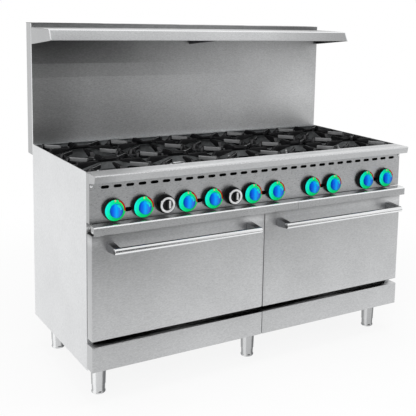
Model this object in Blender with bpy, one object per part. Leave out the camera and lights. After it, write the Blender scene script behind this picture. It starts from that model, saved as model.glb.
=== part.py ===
"""Free-standing gas range: ten open burners, two ovens, a tall back riser with a shelf, six legs.

Metres, +Z up.  The front of the range faces -Y and it stands on Z = 0.  Every Y value below is
measured from the front edge of the side panels; range_frame then centres the whole on the origin.
"""
import math

import bmesh
import bpy
from mathutils import Matrix
from mathutils import Vector

# Fits and stock
SHEET = 0.0015
LINER_SHEET = 0.002
FIT = 0.0003
EMBED = SHEET / 2

# Cabinet, from the floor up
WIDTH = 1.524
SIDE_DEPTH = 0.6595
LEG_HEIGHT = 0.1313
KICK_RISE = 0.008
KICK_HEIGHT = 0.1005
DOOR_GAP = 0.0218
DOOR_HEIGHT = 0.4143
TRAY_GAP = 0.008
TRAY_FRONT_HEIGHT = 0.0316
TRAY_TOP_RISE = 0.0023
PANEL_TRAY_GAP = 0.0012
PANEL_HEIGHT = 0.1918
PANEL_FLANGE = 0.022
SIDE_HEM = 0.010
BASE_WALL = 0.030
COLUMNS = 5

# Riser and shelf
RISER_DEPTH = 0.072
RISER_HEIGHT = 0.5767
RISER_OVERLAP = 0.049
FLUE_SLOTS = 4
FLUE_SLOT_MARGIN = 0.081
FLUE_SLOT_WIDTH = 0.032
SHELF_DROP = 0.018
SHELF_DEPTH = 0.2406
SHELF_LIP_DROP = 0.0433
SHELF_LIP_SPLAY = 0.023
SHELF_HEM = 0.010
SHELF_BRACKET_HEIGHT = 0.0734
SHELF_BRACKET_FLANGE = 0.022

# Front rail, control panel and kick panels
RAIL_REACH = 0.091
RAIL_UNDERCUT = 0.0069
RAIL_HEIGHT = 0.0302
RAIL_BACK = 0.006
SHEET_BEND = 0.005
PANEL_REACH = 0.031
VENT_MARGIN = 0.050
VENT_PITCH = 0.0504
VENT_LENGTH = 0.034
VENT_HEIGHT = 0.012
VENT_DROP = 0.0565
VENT_SHIFT = 0.005
KICK_REACH = 0.0525
KICK_SEAM = 0.002

# Knobs, valves and manifold
KNOB_RISE = 0.0463
KNOB_SPREAD = 0.0582
OVEN_KNOB_COLUMNS = (1, 2)
SKIRT_RADIUS = 0.041
SKIRT_HEIGHT = 0.016
DIAL_RADIUS = 0.039
DIAL_EDGE = 0.0205
DIAL_ROOT = 0.0255
HUB_RADIUS = 0.0235
HUB_FLARE = 0.0012
HUB_WALL = 0.0313
KNOB_LENGTH = 0.041
OVEN_KNOB_RADIUS = 0.037
OVEN_SKIRT_HEIGHT = 0.0146
OVEN_RING_RADIUS = 0.032
OVEN_RING_WIDTH = 0.0105
OVEN_RING_DEPTH = 0.0063
OVEN_RING_EDGE = 0.001
OVEN_KNOB_LENGTH = 0.0345
POINTER_WIDTH = 0.0084
POINTER_MARGIN = 0.0032
KNOB_FACE_GAP = 0.0006
STEM_RADIUS = 0.004
STEM_REACH = 0.018
STEM_PLAY = 0.0005
STEM_HOLE_CLEARANCE = 0.003
PORT_LENGTH = 0.034
PORT_HEIGHT = 0.017
PORT_DROP = 0.006
MANIFOLD_Y = 0.012
MANIFOLD_RADIUS = 0.017
MANIFOLD_MARGIN = 0.006
VALVE_RADIUS = 0.014
INLET_INSET = 0.047
INLET_RADIUS = 0.0153
INLET_CLEARANCE = 0.0047
INLET_STUB = 0.020

# Ovens
LINER_RISE = 0.002
CAVITY_RISE = 0.031
CAVITY_DROP = 0.041
CAVITY_BACK_GAP = 0.090
CAVITY_MARGIN = 0.056
RUNNER_WIDTH = 0.020
GUIDE_LEVELS = 3
GUIDE_PITCH = 0.075
GUIDE_START = 0.085
GUIDE_REACH = 0.010
GUIDE_HEIGHT = 0.006
GUIDE_FRONT = 0.035
RACK_GUIDE = 1
RACK_ROD = 0.0040
RACK_END_ROD = 0.0036
RACK_WIRE = 0.0026
RACK_WIRE_RISE = 0.0016
RACK_WIRE_TAIL = 0.0012
RACK_WIRES = 6
RACK_SIDE_PLAY = 0.004

# Oven doors and handles
DOOR_REACH = 0.0495
DOOR_SEAL_GAP = 0.004
DOOR_SIDE_GAP = 0.001
DOOR_CENTRE_GAP = 0.003
DOOR_PLUG = 0.012
DOOR_PLUG_PLAY = 0.008
HINGE_BACK = 0.023
HINGE_UP = 0.009
HINGE_INSET = 0.025
HINGE_ARM = 0.004
HINGE_EYE_RADIUS = 0.0065
HINGE_PIN_RADIUS = 0.003
HINGE_PIN_PLAY = 0.0006
HINGE_NOTCH = 0.002
HANDLE_INSET = 0.059
HANDLE_RADIUS = 0.013
HANDLE_STANDOFF = 0.074
HANDLE_DROP = 0.0471
BRACKET_WIDTH = 0.026
BRACKET_TOP = 0.018
BRACKET_DROP = 0.019
BRACKET_NOSE = 0.0115

# Crumb trays
TRAY_COLUMNS = 3
TRAY_REACH = 0.0785
TRAY_FLOOR_RISE = 0.003
TRAY_WALL_CLEARANCE = 0.007
TRAY_BACK_GAP = 0.050
TRAY_SIDE_CLEARANCE = 0.012
TRAY_SEAM = 0.001
TRAY_TOP_RUN = 0.0425
TRAY_EDGE = 0.003
TRAY_LIP = 0.0145

# Grates and burners
GRATE_FRONT_GAP = 0.002
GRATE_REAR_GAP = 0.0247
REAR_LANDING_GAP = 0.002
GRATE_SIDE_CLEARANCE = 0.002
GRATE_ROW_GAP = 0.022
GRATE_BEARING = 0.0115
GRATE_SEAT_DROP = 0.0295
GRATE_TOP_RISE = 0.006
GRATE_FRAME_HEIGHT = 0.015
GRATE_FRAME_WIDTH = 0.014
GRATE_CORNER = 0.030
FIN_THICKNESS = 0.010
FIN_DEPTH = 0.0185
FIN_INNER_RADIUS = 0.090
FIN_CORNER_INSET = 0.013
FIN_END_RUN = 0.014
FIN_DROP_RUN = 0.040
FIN_ROOT_RISE = 0.005
FINGER_INNER_RADIUS = 0.046
FINGER_TIP_DEPTH = 0.008
FINGER_ROOT = 0.017
FINGER_TIP = 0.009
FINGER_INSET = 0.0047
FINGER_HEEL = 0.0224
SUPPORT_HEIGHT = 0.028
BURNER_DROP = 0.0165
BURNER_RADIUS = 0.047
BURNER_DOME = 0.018
BURNER_UNDERCUT = 0.006
BURNER_BOWL_RADIUS = 0.035
BURNER_BOWL = 0.014
BURNER_THROAT = 0.010
BURNER_NECK = 0.022
CARRIER_WIDTH = 0.030
CARRIER_HEIGHT = 0.030
CARRIER_DROP = 0.010
VENTURI_RADIUS = 0.012
VENTURI_GAP = 0.017
VENTURI_DROP = 0.039

# Legs
LEG_SIDE_INSET = 0.070
LEG_FRONT_Y = 0.065
LEG_REAR_INSET = 0.1025
LEG_RADIUS = 0.031
SLEEVE_END_RADIUS = 0.0283
SLEEVE_COLLAR = 0.005
FOOT_HEIGHT = 0.037
FOOT_TOP_RADIUS = 0.0268
FOOT_WAIST_RADIUS = 0.0260
FOOT_WAIST_HEIGHT = 0.013
FOOT_FLARE_RADIUS = 0.0283
FOOT_FLARE_HEIGHT = 0.006
FOOT_BASE_RADIUS = 0.0245

# Facet counts and shading
KNOB_SIDES = 12
LEG_SIDES = 10
BURNER_SIDES = 10
PIPE_SIDES = 10
HANDLE_SIDES = 12
STEM_SIDES = 6
VENTURI_SIDES = 6
HINGE_SIDES = 8
WIRE_SIDES = 5
BEND_STEPS = 3
SLOT_STEPS = 3
DOME_STEPS = 3
SMOOTH_ANGLE = 40

# Heights that follow from the sizes above
SIDE_BOTTOM = LEG_HEIGHT
KICK_BOTTOM = SIDE_BOTTOM + KICK_RISE
KICK_TOP = KICK_BOTTOM + KICK_HEIGHT
DOOR_BOTTOM = KICK_TOP + DOOR_GAP
DOOR_TOP = DOOR_BOTTOM + DOOR_HEIGHT
TRAY_FRONT_BOTTOM = DOOR_TOP + TRAY_GAP
TRAY_FRONT_TOP = TRAY_FRONT_BOTTOM + TRAY_FRONT_HEIGHT
TRAY_FLOOR = TRAY_FRONT_BOTTOM + TRAY_FLOOR_RISE
PANEL_BOTTOM = TRAY_FRONT_TOP + TRAY_TOP_RISE + PANEL_TRAY_GAP
COOKTOP_HEIGHT = PANEL_BOTTOM + PANEL_HEIGHT
KNOB_Z = PANEL_BOTTOM + KNOB_RISE
PORT_Z = KNOB_Z - PORT_DROP
VENT_Z = COOKTOP_HEIGHT - VENT_DROP
RISER_BOTTOM = COOKTOP_HEIGHT - RISER_OVERLAP
RISER_TOP = RISER_BOTTOM + RISER_HEIGHT
SHELF_TOP = RISER_TOP - SHELF_DROP
LINER_BOTTOM = DOOR_BOTTOM + LINER_RISE
LINER_TOP = TRAY_FLOOR - FIT
CAVITY_BOTTOM = DOOR_BOTTOM + CAVITY_RISE
CAVITY_TOP = DOOR_TOP - CAVITY_DROP
HANDLE_Z = DOOR_TOP - HANDLE_DROP
HINGE_Z = DOOR_BOTTOM + HINGE_UP
GRATE_BOTTOM = COOKTOP_HEIGHT - GRATE_SEAT_DROP
GRATE_TOP = COOKTOP_HEIGHT + GRATE_TOP_RISE
GRATE_LEDGE = GRATE_BOTTOM - FIT
BURNER_TOP = GRATE_BOTTOM - BURNER_DROP

# Depths that follow from the sizes above
BACK_FACE = SIDE_DEPTH - 2 * SHEET - FIT
RISER_FRONT = SIDE_DEPTH + FIT
CAVITY_BACK = SIDE_DEPTH - CAVITY_BACK_GAP
TRAY_BACK = SIDE_DEPTH - TRAY_BACK_GAP
LEG_REAR_Y = SIDE_DEPTH - LEG_REAR_INSET
PANEL_INSIDE = SHEET - PANEL_REACH
DOOR_BACK = -DOOR_SEAL_GAP
HINGE_Y = DOOR_BACK - HINGE_BACK
HANDLE_Y = -DOOR_REACH - HANDLE_STANDOFF
HANDLE_REACH = HANDLE_RADIUS - HANDLE_Y
FRONT_Y = (HANDLE_REACH - RISER_FRONT - RISER_DEPTH) / 2
GRATE_FRONT_EDGE = RAIL_BACK + GRATE_FRONT_GAP
GRATE_REAR_EDGE = BACK_FACE - GRATE_REAR_GAP
GRATE_LENGTH = (GRATE_REAR_EDGE - GRATE_FRONT_EDGE - GRATE_ROW_GAP) / 2
GRATE_CENTRES = (GRATE_FRONT_EDGE + GRATE_LENGTH / 2, GRATE_REAR_EDGE - GRATE_LENGTH / 2)

# Places across the range that follow from the sizes above
HALF = WIDTH / 2
SKIN_INSIDE = HALF - SHEET - FIT
HEM_INSIDE = HALF - 2 * SHEET - FIT
FLANGE_INSIDE = HALF - PANEL_FLANGE - FIT
COLUMN_PITCH = WIDTH / COLUMNS
COLUMN_CENTRES = [(column - (COLUMNS - 1) / 2) * COLUMN_PITCH for column in range(COLUMNS)]
OVEN_KNOB_X = [column * COLUMN_PITCH - HALF for column in OVEN_KNOB_COLUMNS]
VALVE_X = [centre + side * KNOB_SPREAD for centre in COLUMN_CENTRES for side in (-1, 1)]
TRAY_SPLIT = TRAY_COLUMNS * COLUMN_PITCH - HALF
CAVITY_LEFT = CAVITY_MARGIN - HALF
CAVITY_RIGHT = -CAVITY_MARGIN
DOOR_LEFT = DOOR_SIDE_GAP - HALF
DOOR_RIGHT = -DOOR_CENTRE_GAP
HINGE_ARMS = (DOOR_LEFT + HINGE_INSET, DOOR_RIGHT - HINGE_INSET - HINGE_ARM)
GRATE_WIDTH = COLUMN_PITCH - 2 * (2 * SHEET + GRATE_SIDE_CLEARANCE)
STEM_HOLE_RADIUS = STEM_RADIUS + STEM_HOLE_CLEARANCE


def clear_scene():
    for item in list(bpy.data.objects):
        bpy.data.objects.remove(item, do_unlink=True)


def finish(name, colour, roughness, metallic):
    material = bpy.data.materials.new(name)
    material.use_nodes = True
    shader = material.node_tree.nodes["Principled BSDF"]
    shader.inputs["Base Color"].default_value = (*colour, 1.0)
    shader.inputs["Roughness"].default_value = roughness
    shader.inputs["Metallic"].default_value = metallic
    return material


def add_box(solid, low, high):
    size = Vector(high) - Vector(low)
    middle = (Vector(high) + Vector(low)) / 2
    bmesh.ops.create_cube(solid, size=1.0, matrix=Matrix.Translation(middle) @ Matrix.Diagonal((*size, 1.0)))


def box(low, high):
    solid = bmesh.new()
    add_box(solid, low, high)
    return solid


def add_prism(solid, outline, start, stop, place=Matrix.Identity(4)):
    """Closed prism: an outline in the local XY plane, swept along local Z, then put in place."""
    rings = []
    for height in (start, stop):
        rings.append([solid.verts.new(place @ Vector((a, b, height))) for a, b in outline])
    count = len(outline)
    faces = [solid.faces.new(rings[0][::-1]), solid.faces.new(rings[1])]
    for index in range(count):
        follow = (index + 1) % count
        faces.append(solid.faces.new((rings[0][index], rings[0][follow], rings[1][follow], rings[1][index])))
    bmesh.ops.recalc_face_normals(solid, faces=faces)


def prism(outline, start, stop, place=Matrix.Identity(4)):
    solid = bmesh.new()
    add_prism(solid, outline, start, stop, place)
    return solid


def add_turned(solid, profile, sides, place=Matrix.Identity(4)):
    """Turned solid about local Z from (radius, height) points that start and end on the axis."""
    rings = []
    for radius, height in profile:
        if radius == 0:
            rings.append([solid.verts.new(place @ Vector((0, 0, height)))])
            continue
        ring = []
        for step in range(sides):
            turn = 2 * math.pi * step / sides
            point = Vector((radius * math.cos(turn), radius * math.sin(turn), height))
            ring.append(solid.verts.new(place @ point))
        rings.append(ring)
    faces = []
    for lower, upper in zip(rings, rings[1:]):
        for step in range(sides):
            follow = (step + 1) % sides
            corners = [lower[step % len(lower)], lower[follow % len(lower)]]
            corners += [upper[follow % len(upper)], upper[step % len(upper)]]
            faces.append(solid.faces.new(list(dict.fromkeys(corners))))
    bmesh.ops.recalc_face_normals(solid, faces=faces)


def turned(profile, sides, place=Matrix.Identity(4)):
    solid = bmesh.new()
    add_turned(solid, profile, sides, place)
    return solid


def rod(radius, start, stop):
    return [(0, start), (radius, start), (radius, stop), (0, stop)]


def dome(radius, foot, top):
    """Quarter-ellipse profile points from the axis at the top down to the full radius at the foot."""
    points = [(0, top)]
    for step in range(DOME_STEPS - 1, -1, -1):
        turn = math.pi / 2 * step / DOME_STEPS
        points.append((radius * math.cos(turn), foot + (top - foot) * math.sin(turn)))
    return points


def join(solid, tool, operation):
    """Boolean of two closed solids; both are used up and the result comes back."""
    objects = []
    for part in (solid, tool):
        mesh = bpy.data.meshes.new("operand")
        part.to_mesh(mesh)
        part.free()
        item = bpy.data.objects.new("operand", mesh)
        bpy.context.scene.collection.objects.link(item)
        objects.append(item)
    modifier = objects[0].modifiers.new("join", "BOOLEAN")
    modifier.operation = operation
    modifier.solver = "EXACT"
    modifier.object = objects[1]
    graph = bpy.context.evaluated_depsgraph_get()
    result = bmesh.new()
    result.from_object(objects[0], graph)
    for item in objects:
        mesh = item.data
        bpy.data.objects.remove(item, do_unlink=True)
        bpy.data.meshes.remove(mesh)
    return result


def tray(low, high, *openings):
    """Folded sheet box with its open sides given as '+X', '-Y' and so on."""
    inner_low = [value + SHEET for value in low]
    inner_high = [value - SHEET for value in high]
    for sign, letter in openings:
        axis = "XYZ".index(letter)
        if sign == "+":
            inner_high[axis] = high[axis] + SHEET
        else:
            inner_low[axis] = low[axis] - SHEET
    return join(box(low, high), box(inner_low, inner_high), "DIFFERENCE")


def offset_path(path, distance):
    """The path moved sideways to its right, with mitred corners."""
    normals = []
    for (a, b), (c, d) in zip(path, path[1:]):
        length = math.hypot(c - a, d - b)
        normals.append(((d - b) / length, -(c - a) / length))
    normals = [normals[0]] + normals + [normals[-1]]
    moved = []
    for (a, b), before, after in zip(path, normals, normals[1:]):
        share = distance / (1 + before[0] * after[0] + before[1] * after[1])
        moved.append((a + share * (before[0] + after[0]), b + share * (before[1] + after[1])))
    return moved


def strip(path, thickness):
    """Outline of a bent sheet whose show face follows the path, with the metal on its right."""
    return path + offset_path(path, thickness)[::-1]


def bend(corner, before, after, radius):
    """Arc that rounds a corner between two neighbouring points of a path."""
    corner = Vector(corner)
    first = (Vector(before) - corner).normalized()
    second = (Vector(after) - corner).normalized()
    half = first.angle(second) / 2
    centre = corner + (first + second).normalized() * (radius / math.sin(half))
    start = corner + first * (radius / math.tan(half)) - centre
    stop = corner + second * (radius / math.tan(half)) - centre
    points = []
    for step in range(BEND_STEPS + 1):
        arm = start.slerp(stop, step / BEND_STEPS).normalized() * radius
        points.append(tuple(centre + arm))
    return points


def obround(length, height):
    """Slot outline with half-round ends, centred on the origin."""
    radius = height / 2
    reach = length / 2 - radius
    points = []
    for side in (1, -1):
        for step in range(SLOT_STEPS + 1):
            turn = math.pi * (step / SLOT_STEPS - 0.5)
            points.append((side * (reach + radius * math.cos(turn)), side * radius * math.sin(turn)))
    return points


def mirrored(solid):
    """The same solid on the other side of the YZ plane."""
    bmesh.ops.scale(solid, vec=(-1, 1, 1), verts=solid.verts)
    bmesh.ops.reverse_faces(solid, faces=solid.faces)
    return solid


ACROSS = Matrix(((0, 0, 1, 0), (1, 0, 0, 0), (0, 1, 0, 0), (0, 0, 0, 1)))
FACING = Matrix(((1, 0, 0, 0), (0, 0, -1, 0), (0, 1, 0, 0), (0, 0, 0, 1)))


def at(x, y, z):
    return Matrix.Translation((x, y, z))


def mesh_of(name, solid, material, smooth=False):
    mesh = bpy.data.meshes.new(name)
    solid.to_mesh(mesh)
    solid.free()
    mesh.materials.append(material)
    if smooth:
        mesh.shade_smooth()
        mesh.set_sharp_from_angle(angle=math.radians(SMOOTH_ANGLE))
    return mesh


def put(name, mesh, frame, location=(0, 0, 0), rotation=(0, 0, 0)):
    item = bpy.data.objects.new(name, mesh)
    item.location = location
    item.rotation_euler = rotation
    item.parent = frame
    bpy.context.scene.collection.objects.link(item)


def place(name, solid, material, frame, origin=(0, 0, 0), smooth=False):
    """Turn a solid in range coordinates into a named object whose origin is at the given point."""
    bmesh.ops.translate(solid, vec=[-value for value in origin], verts=solid.verts)
    put(name, mesh_of(name, solid, material, smooth), frame, origin)


def side_panel():
    """Left side: one skin with flanges turned in at the front, back and bottom, and a hem along the top."""
    skin = tray((-HALF, 0, SIDE_BOTTOM), (PANEL_FLANGE - HALF, SIDE_DEPTH, COOKTOP_HEIGHT), "+X", "+Z")
    hem = box((SHEET - HALF - EMBED, EMBED, COOKTOP_HEIGHT - SIDE_HEM),
              (2 * SHEET - HALF, BACK_FACE - FIT, COOKTOP_HEIGHT))
    return join(skin, hem, "UNION")


def back_panel():
    """Back sheet with the rear grate ledge, a landing strip along its top and a hole for the gas inlet."""
    sheet = box((-SKIN_INSIDE, BACK_FACE, SIDE_BOTTOM + SHEET + FIT),
                (SKIN_INSIDE, BACK_FACE + SHEET, COOKTOP_HEIGHT))
    folds = bmesh.new()
    add_box(folds, (-FLANGE_INSIDE, GRATE_REAR_EDGE - GRATE_BEARING, GRATE_LEDGE - SHEET),
            (FLANGE_INSIDE, BACK_FACE + EMBED, GRATE_LEDGE))
    add_box(folds, (-HEM_INSIDE, GRATE_REAR_EDGE + REAR_LANDING_GAP, COOKTOP_HEIGHT - SHEET),
            (HEM_INSIDE, BACK_FACE + EMBED, COOKTOP_HEIGHT))
    sheet = join(sheet, folds, "UNION")
    inlet = turned(rod(INLET_RADIUS + INLET_CLEARANCE, -2 * SHEET, SHEET), PIPE_SIDES,
                   at(HALF - INLET_INSET, BACK_FACE, KNOB_Z) @ FACING)
    return join(sheet, inlet, "DIFFERENCE")


def base_pan():
    low = (-SKIN_INSIDE, SHEET + FIT, SIDE_BOTTOM + SHEET + FIT)
    return tray(low, (SKIN_INSIDE, BACK_FACE - FIT, low[2] + BASE_WALL), "+Z")


def front_rail():
    """Landing ledge: bent sheet with closed ends that also carries the front edge of the grates."""
    bottom = COOKTOP_HEIGHT - RAIL_HEIGHT
    panel_face = -PANEL_REACH - FIT
    foot = (RAIL_UNDERCUT - RAIL_REACH, bottom)
    nose = (-RAIL_REACH, COOKTOP_HEIGHT)
    back = (RAIL_BACK, COOKTOP_HEIGHT)
    path = [(panel_face, bottom), foot]
    path += bend(nose, foot, back, SHEET_BEND)
    ledge = GRATE_FRONT_EDGE + GRATE_BEARING
    path += [back, (RAIL_BACK, GRATE_LEDGE), (ledge, GRATE_LEDGE)]
    rail = prism(strip(path, SHEET), -HALF, HALF, ACROSS)
    end_path = offset_path(path[:3 + BEND_STEPS], EMBED)
    end = end_path + [(panel_face, COOKTOP_HEIGHT - EMBED)]
    caps = bmesh.new()
    add_prism(caps, end, -HALF, SHEET - HALF, ACROSS)
    add_prism(caps, end, HALF - SHEET, HALF, ACROSS)
    rail = join(rail, caps, "UNION")
    notches = bmesh.new()
    for side in (-1, 1):
        near = side * FLANGE_INSIDE
        far = side * (HALF + SHEET)
        add_box(notches, (min(near, far), -FIT, bottom - SHEET),
                (max(near, far), ledge + SHEET, COOKTOP_HEIGHT + SHEET))
    return join(rail, notches, "DIFFERENCE")


def control_panel():
    """Folded front with a row of vent slots, a stem hole for each knob and a lighting port for each pair."""
    top = COOKTOP_HEIGHT - SHEET - FIT
    panel = tray((-HALF, -PANEL_REACH, PANEL_BOTTOM), (HALF, -FIT, top), "+Y")
    cuts = bmesh.new()
    gaps = int((WIDTH - 2 * VENT_MARGIN) / VENT_PITCH)
    for index in range(gaps + 1):
        x = (index - gaps / 2) * VENT_PITCH + VENT_SHIFT
        add_prism(cuts, obround(VENT_LENGTH, VENT_HEIGHT), -SHEET, 2 * SHEET,
                  at(x, PANEL_INSIDE, VENT_Z) @ FACING)
    for x in VALVE_X + OVEN_KNOB_X:
        add_turned(cuts, rod(STEM_HOLE_RADIUS, -SHEET, 2 * SHEET), STEM_SIDES,
                   at(x, PANEL_INSIDE, KNOB_Z) @ FACING)
    for x in COLUMN_CENTRES:
        add_prism(cuts, obround(PORT_LENGTH, PORT_HEIGHT), -SHEET, 2 * SHEET,
                  at(x, PANEL_INSIDE, PORT_Z) @ FACING)
    return join(panel, cuts, "DIFFERENCE")


def riser():
    """Hollow flue riser, open below and slotted along its top."""
    low = (-HALF, RISER_FRONT, RISER_BOTTOM)
    high = (HALF, RISER_FRONT + RISER_DEPTH, RISER_TOP)
    shell = tray(low, high, "-Z")
    slots = bmesh.new()
    middle = RISER_FRONT + RISER_DEPTH / 2
    pitch = WIDTH / FLUE_SLOTS
    length = pitch - FLUE_SLOT_MARGIN
    for index in range(FLUE_SLOTS):
        x = (index - (FLUE_SLOTS - 1) / 2) * pitch
        add_prism(slots, obround(length, FLUE_SLOT_WIDTH), -2 * SHEET, SHEET, at(x, middle, RISER_TOP))
    return join(shell, slots, "DIFFERENCE")


def riser_shelf():
    """Shelf with a splayed front lip, carried by three wedge brackets that bolt to the riser."""
    back = SIDE_DEPTH
    front = back - SHELF_DEPTH
    lip = (front - SHELF_LIP_SPLAY, SHELF_TOP - SHELF_LIP_DROP)
    path = [(lip[0] + SHELF_HEM, lip[1]), lip]
    path += bend((front, SHELF_TOP), lip, (back, SHELF_TOP), SHEET_BEND)
    path += [(back, SHELF_TOP), (back, SHELF_TOP - SHELF_BRACKET_FLANGE)]
    shelf = prism(strip(path, SHEET), -HALF, HALF, ACROSS)
    under = SHELF_TOP - EMBED
    foot = SHELF_TOP - SHELF_BRACKET_HEIGHT
    inner_path = offset_path(path[1:3 + BEND_STEPS], EMBED)
    wedge = inner_path + [(back - EMBED / 2, under), (back - EMBED / 2, foot)]
    brackets = bmesh.new()
    for x in (-HALF, -SHEET / 2, HALF - SHEET):
        add_prism(brackets, wedge, x, x + SHEET, ACROSS)
    shelf = join(shelf, brackets, "UNION")
    flanges = bmesh.new()
    for x, reach in ((-HALF, 1), (-SHEET / 2, 1), (HALF, -1)):
        near = x + reach * SHEET / 4
        far = x + reach * SHELF_BRACKET_FLANGE
        add_box(flanges, (min(near, far), back - SHEET, foot + SHEET), (max(near, far), back, under))
    return join(shelf, flanges, "UNION")


def kick_panel():
    """Left kick panel: folded front below the oven door."""
    return tray((-HALF, -KICK_REACH, KICK_BOTTOM), (-KICK_SEAM / 2, -FIT, KICK_TOP), "+Y")


def oven_liner():
    """Left oven: face frame with hinge arms, open-fronted cavity with rack guides, crumb tray runners."""
    outer = -FLANGE_INSIDE
    inner = -FIT / 2
    low = (CAVITY_LEFT, 0, CAVITY_BOTTOM)
    high = (CAVITY_RIGHT, CAVITY_BACK, CAVITY_TOP)
    wall = LINER_SHEET
    shell = box((low[0] - wall, EMBED, low[2] - wall), (high[0] + wall, high[1] + wall, high[2] + wall))
    frame = box((outer, 0, LINER_BOTTOM), (inner, wall, LINER_TOP))
    liner = join(shell, frame, "UNION")
    runners = bmesh.new()
    for x in (low[0] + RUNNER_WIDTH, high[0] - 2 * RUNNER_WIDTH):
        add_box(runners, (x, wall / 2, high[2] + wall / 2),
                (x + RUNNER_WIDTH, high[1], LINER_TOP - EMBED / 4))
    liner = join(liner, runners, "UNION")
    liner = join(liner, box((low[0], -wall, low[2]), high), "DIFFERENCE")
    guides = bmesh.new()
    for level in range(GUIDE_LEVELS):
        z = low[2] + GUIDE_START + level * GUIDE_PITCH
        for near, far in ((low[0] - EMBED, low[0] + GUIDE_REACH), (high[0] - GUIDE_REACH, high[0] + EMBED)):
            add_box(guides, (near, GUIDE_FRONT, z), (far, high[1] - GUIDE_FRONT, z + GUIDE_HEIGHT))
    liner = join(liner, guides, "UNION")
    outline = [(EMBED, HINGE_Z - HINGE_EYE_RADIUS), (EMBED, HINGE_Z + HINGE_EYE_RADIUS)]
    for step in range(HINGE_SIDES // 2 + 1):
        turn = math.pi / 2 + 2 * math.pi * step / HINGE_SIDES
        eye = HINGE_EYE_RADIUS * Vector((math.cos(turn), math.sin(turn)))
        outline.append((HINGE_Y + eye.x, HINGE_Z + eye.y))
    arms = bmesh.new()
    eyes = bmesh.new()
    bore = HINGE_PIN_RADIUS + HINGE_PIN_PLAY
    for x in HINGE_ARMS:
        add_prism(arms, outline, x, x + HINGE_ARM, ACROSS)
        add_turned(eyes, rod(bore, x - EMBED, x + HINGE_ARM + EMBED), HINGE_SIDES,
                   at(0, HINGE_Y, HINGE_Z) @ ACROSS)
    return join(join(liner, arms, "UNION"), eyes, "DIFFERENCE")


def oven_rack():
    """Wire rack of the left oven, lying on one pair of guides."""
    guide = CAVITY_BOTTOM + GUIDE_START + RACK_GUIDE * GUIDE_PITCH + GUIDE_HEIGHT
    z = guide + FIT + RACK_ROD
    left = CAVITY_LEFT + RACK_SIDE_PLAY + RACK_ROD
    right = CAVITY_RIGHT - RACK_SIDE_PLAY - RACK_ROD
    front = GUIDE_FRONT + RACK_ROD
    back = CAVITY_BACK - GUIDE_FRONT - RACK_ROD
    along = Matrix.Rotation(-math.pi / 2, 4, "X")
    across = Matrix.Rotation(math.pi / 2, 4, "Y")
    sides = bmesh.new()
    for x in (left, right):
        add_turned(sides, rod(RACK_ROD, front - RACK_ROD, back + RACK_ROD), WIRE_SIDES, at(x, 0, z) @ along)
    ends = bmesh.new()
    for y in (front, (front + back) / 2, back):
        add_turned(ends, rod(RACK_END_ROD, left, right), WIRE_SIDES, at(0, y, z) @ across)
    rack = join(sides, ends, "UNION")
    wires = bmesh.new()
    for index in range(RACK_WIRES):
        x = left + (right - left) * (index + 1) / (RACK_WIRES + 1)
        add_turned(wires, rod(RACK_WIRE, front - RACK_WIRE_TAIL, back + RACK_WIRE_TAIL), WIRE_SIDES,
                   at(x, 0, z + RACK_WIRE_RISE) @ along)
    return join(rack, wires, "UNION")


def door_shell():
    """Left door skin: front sheet with folded edges, a hinge pin at each side and notches for the arms."""
    shell = tray((DOOR_LEFT, -DOOR_REACH, DOOR_BOTTOM), (DOOR_RIGHT, DOOR_BACK, DOOR_TOP), "+Y")
    notches = bmesh.new()
    for x in HINGE_ARMS:
        add_box(notches, (x - HINGE_NOTCH, HINGE_Y - HINGE_EYE_RADIUS - HINGE_NOTCH, DOOR_BOTTOM - SHEET),
                (x + HINGE_ARM + HINGE_NOTCH, DOOR_BACK + SHEET, DOOR_BOTTOM + 2 * SHEET))
    shell = join(shell, notches, "DIFFERENCE")
    pins = bmesh.new()
    for start, stop in ((DOOR_LEFT + EMBED, HINGE_ARMS[0] + HINGE_ARM + HINGE_NOTCH),
                        (HINGE_ARMS[1] - HINGE_NOTCH, DOOR_RIGHT - EMBED)):
        add_turned(pins, rod(HINGE_PIN_RADIUS, start, stop), HINGE_SIDES, at(0, HINGE_Y, HINGE_Z) @ ACROSS)
    return join(shell, pins, "UNION")


def door_liner():
    """Inner face of the left door: a plate notched for the hinge arms, with a plug for the oven mouth."""
    edge = SHEET + FIT
    plate = box((DOOR_LEFT + edge, DOOR_BACK - SHEET, DOOR_BOTTOM + edge),
                (DOOR_RIGHT - edge, DOOR_BACK, DOOR_TOP - edge))
    low = (CAVITY_LEFT + DOOR_PLUG_PLAY, CAVITY_BOTTOM + DOOR_PLUG_PLAY)
    high = (CAVITY_RIGHT - DOOR_PLUG_PLAY, CAVITY_TOP - DOOR_PLUG_PLAY)
    plug = box((low[0], DOOR_BACK - SHEET / 2, low[1]), (high[0], DOOR_BACK + DOOR_PLUG, high[1]))
    hollow = box((low[0] + SHEET, DOOR_BACK - 2 * SHEET, low[1] + SHEET),
                 (high[0] - SHEET, DOOR_BACK + DOOR_PLUG - SHEET, high[1] - SHEET))
    for x in HINGE_ARMS:
        add_box(hollow, (x - HINGE_NOTCH, DOOR_BACK - 2 * SHEET, DOOR_BOTTOM),
                (x + HINGE_ARM + HINGE_NOTCH, DOOR_BACK + SHEET, HINGE_Z + HINGE_EYE_RADIUS + HINGE_NOTCH))
    return join(join(plate, plug, "UNION"), hollow, "DIFFERENCE")


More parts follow.
